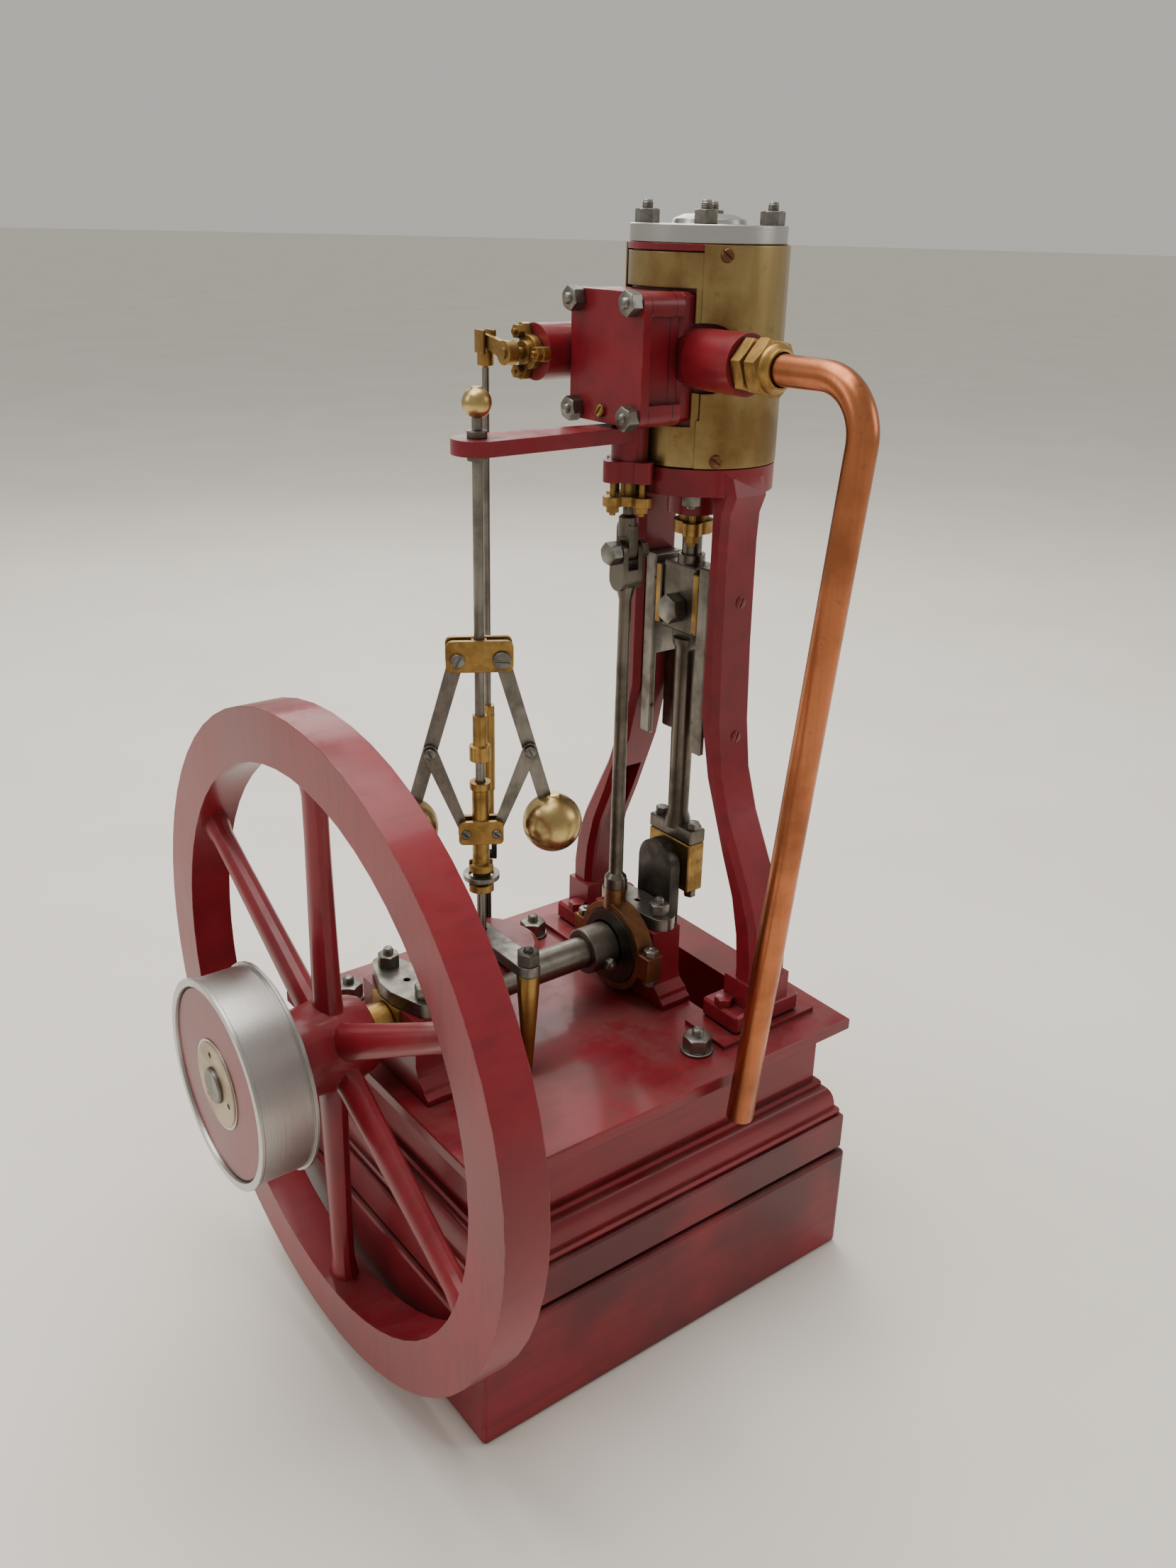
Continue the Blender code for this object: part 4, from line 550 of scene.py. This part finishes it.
def nut(name, body, point, axis=(0, 0, 1), flats=10.5, height=6.5, stud=2.6, reach=4.5, washer=0.0,
        turn=0.2, material=None):
    """A chamfered nut on a threaded stud, with a washer under it if one is asked for.

    turn is the angle of one corner, from +X or, on an axis along X, from +Y.
    """
    mirrored = tuple(axis) in ((0, 0, -1), (-1, 0, 0), (0, 1, 0))
    turn = math.pi / 6 + (-turn if mirrored else turn)
    bm = bmesh.new()
    base = 0.0
    if washer:
        lathe(bm, [(0, 0), (washer - 0.3, 0), (washer, 0.3), (washer, 1.1), (washer - 0.3, 1.4),
                   (0, 1.4)])
        base = 1.35
    hexagon(bm, flats, base, height)
    if stud:
        thread(bm, stud, height - 0.6, height + reach)
    return finish_piece(name, bm, material or NUT, body, aim(point, axis, turn), 30.0)


def bolt_head(name, body, point, axis, flats, height, turn=0.2, material=None):
    return nut(name, body, point, axis, flats, height, stud=0.0, turn=turn, material=material)


def carve(obj, cutters):
    """Cut helper meshes out of a piece."""
    for cutter in cutters:
        mod = obj.modifiers.new("cut", "BOOLEAN")
        mod.operation = "DIFFERENCE"
        mod.solver = "EXACT"
        mod.object = cutter
    graph = bpy.context.evaluated_depsgraph_get()
    mesh = bpy.data.meshes.new_from_object(obj.evaluated_get(graph))
    obj.modifiers.clear()
    obj.data = mesh
    shade(mesh, 35.0)
    for cutter in cutters:
        bpy.data.objects.remove(cutter, do_unlink=True)
    return obj


def cutter_box(place, x, y, z):
    """A plain helper box that is only used to cut."""
    bm = bmesh.new()
    bmesh.ops.create_cube(bm, size=1.0)
    bm.transform(Matrix.Diagonal((2 * x, 2 * y, 2 * z, 1.0)))
    bm.transform(place)
    return mesh_object("cutter", bm)


def screw(name, body, point, axis, radius=3.2, height=1.4, turn=0.6, material=None):
    """A round slotted screw head."""
    place = aim(point, axis, turn)
    bm = bmesh.new()
    lathe(bm, [(0, -0.4), (radius, -0.4), (radius, height * 0.45), (radius * 0.86, height * 0.8),
               (radius * 0.55, height * 0.96), (0, height)], 32)
    obj = finish_piece(name, bm, material or CAST_BRASS, body, place)
    slot_box = cutter_box(place @ Matrix.Translation((0, 0, height)), radius * 1.3, radius * 0.15,
                          height * 0.6)
    return carve(obj, [slot_box])


# ---------------------------------------------------------------- rounded skins
FLAT_SIDED = {"plinth", "base_slab", "slide_bar_front", "slide_bar_rear", "big_end_brasses"}
REBUILT = {"pipe_union", "exhaust_pipe"} | {"holding_down_nut_%d" % k for k in (1, 2, 3, 4)}


def skin(node):
    """A copy of a CAD node's surface whose curved faces are shaded round."""
    source = NODES[node]
    bm = bmesh.new()
    spots = [bm.verts.new(v.co) for v in source.data.vertices]
    for face in source.data.polygons:
        bm.faces.new([spots[i] for i in face.vertices])
    bmesh.ops.remove_doubles(bm, verts=bm.verts, dist=2e-6)
    bmesh.ops.dissolve_degenerate(bm, edges=bm.edges, dist=1e-6)
    bmesh.ops.recalc_face_normals(bm, faces=bm.faces)
    bmesh.ops.dissolve_limit(bm, angle_limit=math.radians(0.6), verts=bm.verts, edges=bm.edges)
    obj = mesh_object(node + "_skin", bm, scale=1.0)
    obj.data.materials.append(source.material_slots[0].material)
    shade(obj.data, 32.0)
    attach(obj, source["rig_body"])
    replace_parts(obj, node)


for node in sorted(NODES):
    if node not in FLAT_SIDED | REBUILT:
        skin(node)

# ---------------------------------------------------------------- brass balls
BALL_RINGS = 28


def ball_piece(name, body, centre, radius, neck):
    """A turned ball with a small flat and a neck where it is screwed on."""
    profile = [(0, -radius)]
    for k in range(1, BALL_RINGS):
        turn = math.pi * (k / BALL_RINGS - 0.5)
        if math.cos(turn) * radius > neck or turn < 0:
            profile.append((radius * math.cos(turn), radius * math.sin(turn)))
    profile += [(neck, radius * 0.985), (neck * 0.9, radius * 1.03), (0, radius * 1.03)]
    bm = bmesh.new()
    lathe(bm, profile, 56)
    return finish_piece(name, bm, BALL_BRASS, body, Matrix.Translation(centre), 40.0)


for side, tag in ((1, "right"), (-1, "left")):
    ball_piece("governor_ball_" + tag, "arm_" + tag, ball_at(side), BALL_R + 0.15, 4.2)
FINIAL_R = 7.2
finial = (GOV_X, 0, corner("governor_spindle", 2, 1) - FINIAL_R)
ball_piece("governor_finial", "governor_body", finial, FINIAL_R + 0.12, 2.7)

# ---------------------------------------------------------------- exhaust pipe
PIPE_R = 7.5
PIPE_BORE = 6.6
PIPE_BEND = 27.0
PIPE_SEG = 40


def pipe_line():
    """Centre line: out along -Y, round the bend and down the long slant."""
    end = Vector((30.0, -123.0, 148.0))
    start = Vector((middle("pipe_union", 0), -76.6, middle("pipe_union", 2)))
    elbow = Vector((start.x, -143.5, start.z))
    down = (end - elbow).normalized()
    along = (elbow - start).normalized()
    turn = math.acos(along.dot(down))
    back = PIPE_BEND * math.tan(turn / 2)
    first = elbow - along * back
    inward = (down - along * along.dot(down)).normalized()
    centre = first + inward * PIPE_BEND
    points = [start, start.lerp(first, 0.5), first]
    for k in range(1, 20):
        a = turn * k / 20
        points.append(centre + (-inward * math.cos(a) + along * math.sin(a)) * PIPE_BEND)
    last = elbow + down * back
    return points + [last, last.lerp(end, 0.33), last.lerp(end, 0.66), end]


def pipe():
    """The copper pipe, open at its lower end, with a rounded lip."""
    bm = bmesh.new()
    line = pipe_line()
    side = Vector((1, 0, 0))
    stops = [(point, line[min(i + 1, len(line) - 1)] - line[max(i - 1, 0)], PIPE_R)
             for i, point in enumerate(line)]
    ahead = (line[-1] - line[-2]).normalized()
    stops[-1] = (line[-1] - ahead * 0.5, ahead, PIPE_R)
    stops += [(line[-1], ahead, PIPE_R - 0.35), (line[-1] - ahead * 0.2, ahead, PIPE_BORE + 0.2),
              (line[-1] - ahead * 1.0, ahead, PIPE_BORE), (line[-1] - ahead * 60, ahead, PIPE_BORE),
              (line[-1] - ahead * 60, ahead, 0.6)]
    rows = []
    for point, way, radius in stops:
        way = way.normalized()
        side = (side - way * side.dot(way)).normalized()
        up = way.cross(side)
        rows.append([bm.verts.new(point + (side * math.cos(2 * math.pi * k / PIPE_SEG)
                                           + up * math.sin(2 * math.pi * k / PIPE_SEG)) * radius)
                     for k in range(PIPE_SEG)])
    for low, high in zip(rows, rows[1:]):
        for k in range(PIPE_SEG):
            j = (k + 1) % PIPE_SEG
            bm.faces.new((low[k], low[j], high[j], high[k]))
    bm.faces.new(rows[0])
    bm.faces.new(rows[-1])
    return finish_piece("copper_pipe", bm, PIPE_COPPER, "base", smooth=50.0)


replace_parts(pipe(), "exhaust_pipe")

# ---------------------------------------------------------------- nuts and studs
COVER_NUT_R = 32.0
CHEST_NUT_Y = 23.0
CHEST_NUT_RISE = 27.0
CAP_NUT_Y = 20.0
FOOT_BOLT_X = 20.5
BIG_END_BOLT_Y = 14.5
STRAP_BOLT_Y = 31.7
for k in range(4):
    around = math.radians(45 + 90 * k)
    spot = (CYL_X + COVER_NUT_R * math.cos(around), COVER_NUT_R * math.sin(around), COVER_TOP)
    nut("cover_nut_%d" % (k + 1), "base", spot, flats=11.0, height=6.8, stud=2.9, reach=4.4,
        turn=around)
    under = (spot[0], spot[1], corner("column", 2, 1) - 14.2)
    nut("ring_nut_%d" % (k + 1), "base", under, (0, 0, -1), 9.5, 6.0, 2.4, 2.2, turn=around)

for number, side in ((1, -1), (2, 1)):
    for place, rise in ((1, -CHEST_NUT_RISE), (2, CHEST_NUT_RISE)):
        nut("chest_nut_%d" % (2 * number - 2 + place), "base",
            (CHEST_FACE_X, side * CHEST_NUT_Y, CHEST_Z + rise), (-1, 0, 0),
            11.0, 6.6, 2.9, 2.4, turn=0.3)
    for which in ("inner", "outer"):
        nut("%s_cap_nut_%d" % (which, number), "base",
            (middle(which + "_bearing_cap", 0), side * CAP_NUT_Y, CAP_TOP), (0, 0, 1),
            10.6, 6.8, 2.8, 4.0, turn=0.2)
    nut("bridge_nut_%d" % number, "base", (GOV_X, side * BRIDGE_Y, BRIDGE_TOP), (0, 0, 1),
        11.2, 7.2, 2.7, 2.4, turn=0.0, material=DARK)
    foot_y = side * (abs(middle("holding_down_nut_1", 1)) - 10.0)
    for place, way in ((1, -1), (2, 1)):
        bolt_head("foot_bolt_%d" % (2 * number - 2 + place), "base",
                  (CYL_X + way * FOOT_BOLT_X, foot_y, FOOT_TOP), (0, 0, 1), 10.0, 4.9, turn=0.4,
                  material=RED_CHIPPED)
    bolt_head("big_end_nut_%d" % number, "rod_body",
              (CYL_X, side * BIG_END_BOLT_Y, PIN_Z + 23.9), (0, 0, 1), 7.0, 4.3, turn=0.0)
    strap_y = middle("eccentric_sheave", 1) + side * STRAP_BOLT_Y
    for name, z, up in (("top", SHAFT_Z + 6.4, 1), ("low", SHAFT_Z - 9.4, -1)):
        nut("strap_%s_nut_%d" % (name, number), "eccentric_body", (VALVE_X, strap_y, z),
            (0, 0, up), 7.8, 3.8, 1.7, 1.6, turn=0.3)

for k in range(4):
    name = "holding_down_nut_%d" % (k + 1)
    spot = (middle(name, 0), middle(name, 1), corner(name, 2, 0))
    piece = nut("base_nut_%d" % (k + 1), "base", spot, (0, 0, 1), 14.5, 9.6, 3.3, 4.9, washer=9.4,
                turn=0.5 + k)
    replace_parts(piece, name)

CROSSHEAD_HALF = 8.95            # crosshead's axis to the seat of its pin's nut
KNUCKLE_HALF = 6.95
bolt_head("crosshead_pin_head", "crosshead_body", (CYL_X - CROSSHEAD_HALF, 0, XH_Z), (-1, 0, 0),
          14.6, 8.2, 0.35)
nut("crosshead_pin_nut", "crosshead_body", (CYL_X + CROSSHEAD_HALF, 0, XH_Z), (1, 0, 0),
    10.6, 5.4, 3.9, 1.4)
bolt_head("knuckle_bolt_head", "valve_body", (VALVE_X - KNUCKLE_HALF, 0, KNUCKLE_Z), (-1, 0, 0),
          11.0, 6.6)
nut("knuckle_bolt_nut", "valve_body", (VALVE_X + KNUCKLE_HALF, 0, KNUCKLE_Z), (1, 0, 0),
    9.6, 4.8, 2.4, 1.2)
nut("collar_set_screw", "crank", (20.5, -13.6, SHAFT_Z - 4.0), (0, -1, 0), 6.8, 4.2, 1.9, 1.6)

# ---------------------------------------------------------------- slotted screws
CLAD_TURN = math.radians(-118.5)
CLAD_SCREW_Z = (("top", 590.5), ("low", 491.5))
LEG_SCREWS = (("top", 414.5, 40.2), ("low", 337.0, 43.7))      # height and the leg's outer face
for tag, z in CLAD_SCREW_Z:
    for side, name in ((1, "front"), (-1, "rear")):
        outward = (math.cos(CLAD_TURN), side * math.sin(CLAD_TURN), 0)
        spot = (CYL_X + CYL_R * outward[0], CYL_R * outward[1], z)
        screw("cladding_screw_%s_%s" % (name, tag), "base", spot, outward, 3.4, 1.5, turn=0.9,
              material=BRONZE_SCREW)
for side, name in ((-1, "front"), (1, "rear")):
    for tag, z, y in LEG_SCREWS:
        screw("leg_screw_%s_%s" % (name, tag), "base", (CYL_X + 1.5, side * y, z), (0, side, 0),
              3.4, 0.9, turn=1.2, material=RED_CHIPPED)
        screw("bar_screw_%s_%s" % (name, tag), "base", (CYL_X - 9.0, side * GUIDE_Y, z + 3.0),
              (0, -side, 0), 1.4, 0.3, turn=1.2, material=DARK)
screw("chest_drain_screw", "base", (CHEST_FACE_X - 1.3, 2.0, CHEST_Z - 26.0), (-1, 0, 0), 3.2, 1.0,
      turn=0.9)

SWING = Matrix.Translation((GOV_X, 0, 0)) @ Matrix.Rotation(GOV_TURN, 4, "Z")


def governor_screw(name, body, x, z, radius, face, out, turn):
    """A screw head square to the plane in which the governor swings."""
    spot = SWING @ Vector((x, out * face, z))
    screw(name, body, spot, SWING.to_3x3() @ Vector((0, out, 0)), radius, 1.3, turn, NUT)


elbow_x = GOV_PIVOT + GOV_ARM * math.sin(GOV_ARM_ANGLE)
elbow_z = HEAD_Z - GOV_ARM * math.cos(GOV_ARM_ANGLE)
sleeve_z = corner("governor_link_right", 2, 0) + 2.6
for side, tag in ((1, "right"), (-1, "left")):
    for out, way in ((-1, "front"), (1, "rear")):
        size = 4.6 if side > 0 else 3.7
        governor_screw("head_screw_%s_%s" % (tag, way), "governor_body", side * GOV_PIVOT, HEAD_Z,
                       size, 7.0 if out < 0 else 5.6, out, 0.5 + side)
        governor_screw("sleeve_screw_%s_%s" % (tag, way), "sleeve_body", side * GOV_SLEEVE_PIVOT,
                       sleeve_z, 2.6, 5.6, out, 0.9)
    for way, face, out, turn in (("front", 4.6, -1, 0.4), ("rear", 2.4, 1, 0.8)):
        governor_screw("elbow_screw_%s_%s" % (tag, way), "arm_" + tag, side * elbow_x, elbow_z,
                       3.0, face, out, turn)

# ---------------------------------------------------------------- pipe union of two hexagons
union_at = (middle("pipe_union", 0), corner("pipe_union", 1, 1), middle("pipe_union", 2))
bm = bmesh.new()
hexagon(bm, 24.0, 0.2, 7.6)
hexagon(bm, 25.5, 10.2, 18.2)
lathe(bm, [(0, 0), (11.6, 0), (11.6, 7.0), (10.3, 8.2), (10.3, 9.8), (11.8, 10.6), (11.8, 17.5),
           (12.0, 18.6), (11.2, 20.4), (9.8, 21.6), (9.4, 22.6), (8.3, 22.8), (7.9, 21.6),
           (7.9, 12.0), (0, 12.0)], 36)
union = finish_piece("union_nuts", bm, CAST_BRASS, "base", aim(union_at, (0, -1, 0), 0.3))
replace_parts(union, "pipe_union")


# ---------------------------------------------------------------- belt pulley face
def holed_disc(name, outer, x, thick, material, holes=(), bore=0.0):
    """A flat disc on the pulley's face, with small holes."""
    bm = bmesh.new()
    lathe(bm, [(bore, 0), (outer - 0.4, 0), (outer, 0.4), (outer, thick), (bore, thick)], 64,
          closed=True)
    obj = finish_piece(name, bm, material, "crank", aim((x, 0, SHAFT_Z), (1, 0, 0)))
    tools = []
    for reach, turn, size in holes:
        bm = bmesh.new()
        lathe(bm, [(0, -3), (size, -3), (size, thick + 3), (0, thick + 3)], 20)
        bm.transform(aim((x, reach * math.cos(turn), SHAFT_Z + reach * math.sin(turn)), (1, 0, 0)))
        bmesh.ops.recalc_face_normals(bm, faces=bm.faces)
        tools.append(mesh_object("tool", bm))
    return carve(obj, tools) if tools else obj


g = Graph("cream_plate")
cream = g.mix(g.step(g.noise(60.0, 5.0, 0.65), 0.38, 0.66), (0.50, 0.40, 0.27), (0.33, 0.24, 0.15))
# painted shade with grime: the plate's holes and inside corners are darkened by an ambient-occlusion
# mask
cream = g.mix(g.sum("MULTIPLY", g.hollows(0.004), 0.8), cream, GRIME_AND_SHADE)
PLATE = g.close((cream, g.blend(g.noise(80.0), 0.34, 0.5), 0.35, g.noise(500.0)), 0.1)
holed_disc("pulley_face", PULLEY_R - 5.0, PULLEY_X + 1.5, 2.0, RED_CHIPPED, bore=20.0)
holed_disc("pulley_hub_plate", 22.5, PULLEY_X + 0.3, 2.2, PLATE,
           holes=[(16.0, math.radians(a), 1.7) for a in (75, 195, 315)], bore=8.7)

# ---------------------------------------------------------------- floor, light and camera
FLOOR_R = 40                     # metres
FLOOR_SEG = 96
g = Graph("pale_floor")
speckle = g.noise(260.0, 4.0, 0.6)
floor_tone = g.mix(g.step(g.noise(3.0, 3.0), 0.3, 0.7), (0.80, 0.765, 0.70), (0.84, 0.805, 0.745))
FLOOR = g.close((floor_tone, g.blend(speckle, 0.62, 0.72), 0.0, speckle), 0.08)
bm = bmesh.new()
ring = []
for i in range(FLOOR_SEG):
    turn = 2 * math.pi * i / FLOOR_SEG
    ring.append(bm.verts.new((FLOOR_R * math.cos(turn), FLOOR_R * math.sin(turn), 0)))
bm.faces.new(ring)
floor = mesh_object("floor", bm, scale=1.0)
floor.data.materials.append(FLOOR)
floor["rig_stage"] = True


def soft_light(name, place, target, size, power, colour=(1.0, 0.97, 0.93)):
    lamp = bpy.data.lights.new(name, "AREA")
    lamp.shape = "RECTANGLE"
    lamp.size = size[0]
    lamp.size_y = size[1]
    lamp.energy = power
    lamp.color = colour
    obj = bpy.data.objects.new(name, lamp)
    obj.location = place
    obj.rotation_euler = (Vector(target) - Vector(place)).to_track_quat("-Z", "Y").to_euler()
    bpy.context.scene.collection.objects.link(obj)


AIM = (0.0, 0.0, 0.3)
soft_light("overhead", (-0.1, 0.5, 2.4), AIM, (2.2, 1.6), 62.0)
soft_light("fill_left", (-1.8, 0.9, 1.5), AIM, (0.7, 1.0), 7.0, (1.0, 0.985, 0.96))
soft_light("fill_right", (1.7, -1.3, 1.2), AIM, (0.9, 1.0), 7.0)
soft_light("back_rim", (0.9, 1.7, 1.3), AIM, (1.0, 0.9), 10.0)

world = bpy.data.worlds.new("studio")
world.use_nodes = True
sky = world.node_tree.nodes["Background"]
sky.inputs["Color"].default_value = (0.86, 0.83, 0.775, 1.0)
sky.inputs["Strength"].default_value = 0.62
bpy.context.scene.world = world

CAMERA_AT = Vector((-0.41414, -0.55314, 0.60651))
CAMERA_AZIMUTH = math.radians(-37.67)
CAMERA_ELEVATION = math.radians(23.02)
CAMERA_ROLL = math.radians(1.40)
SENSOR_HEIGHT = 24.0
FOCAL_SHARE = 1883.53 / 2212.0      # focal length over the height of the view
back = Vector((math.sin(CAMERA_AZIMUTH) * math.cos(CAMERA_ELEVATION),
               -math.cos(CAMERA_AZIMUTH) * math.cos(CAMERA_ELEVATION), math.sin(CAMERA_ELEVATION)))
level = Vector((math.cos(CAMERA_AZIMUTH), math.sin(CAMERA_AZIMUTH), 0.0))
rise = back.cross(level)
right = level * math.cos(CAMERA_ROLL) + rise * math.sin(CAMERA_ROLL)
top = rise * math.cos(CAMERA_ROLL) - level * math.sin(CAMERA_ROLL)
lens = bpy.data.cameras.new("photo_camera")
lens.sensor_fit = "VERTICAL"
lens.sensor_height = SENSOR_HEIGHT
lens.lens = SENSOR_HEIGHT * FOCAL_SHARE
lens.clip_start = 0.01
lens.clip_end = 200.0
camera = bpy.data.objects.new("photo_camera", lens)
turned = Matrix((right, top, back)).transposed().to_4x4()
camera.matrix_world = Matrix.Translation(CAMERA_AT) @ turned
bpy.context.scene.collection.objects.link(camera)
bpy.context.scene.camera = camera


def plain(value):
    """Numbers in plain nested lists."""
    if hasattr(value, "__len__") and not isinstance(value, str):
        return [plain(v) for v in value]
    return float(value)


{"cad": plain(cad_box), "visual": plain(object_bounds())}
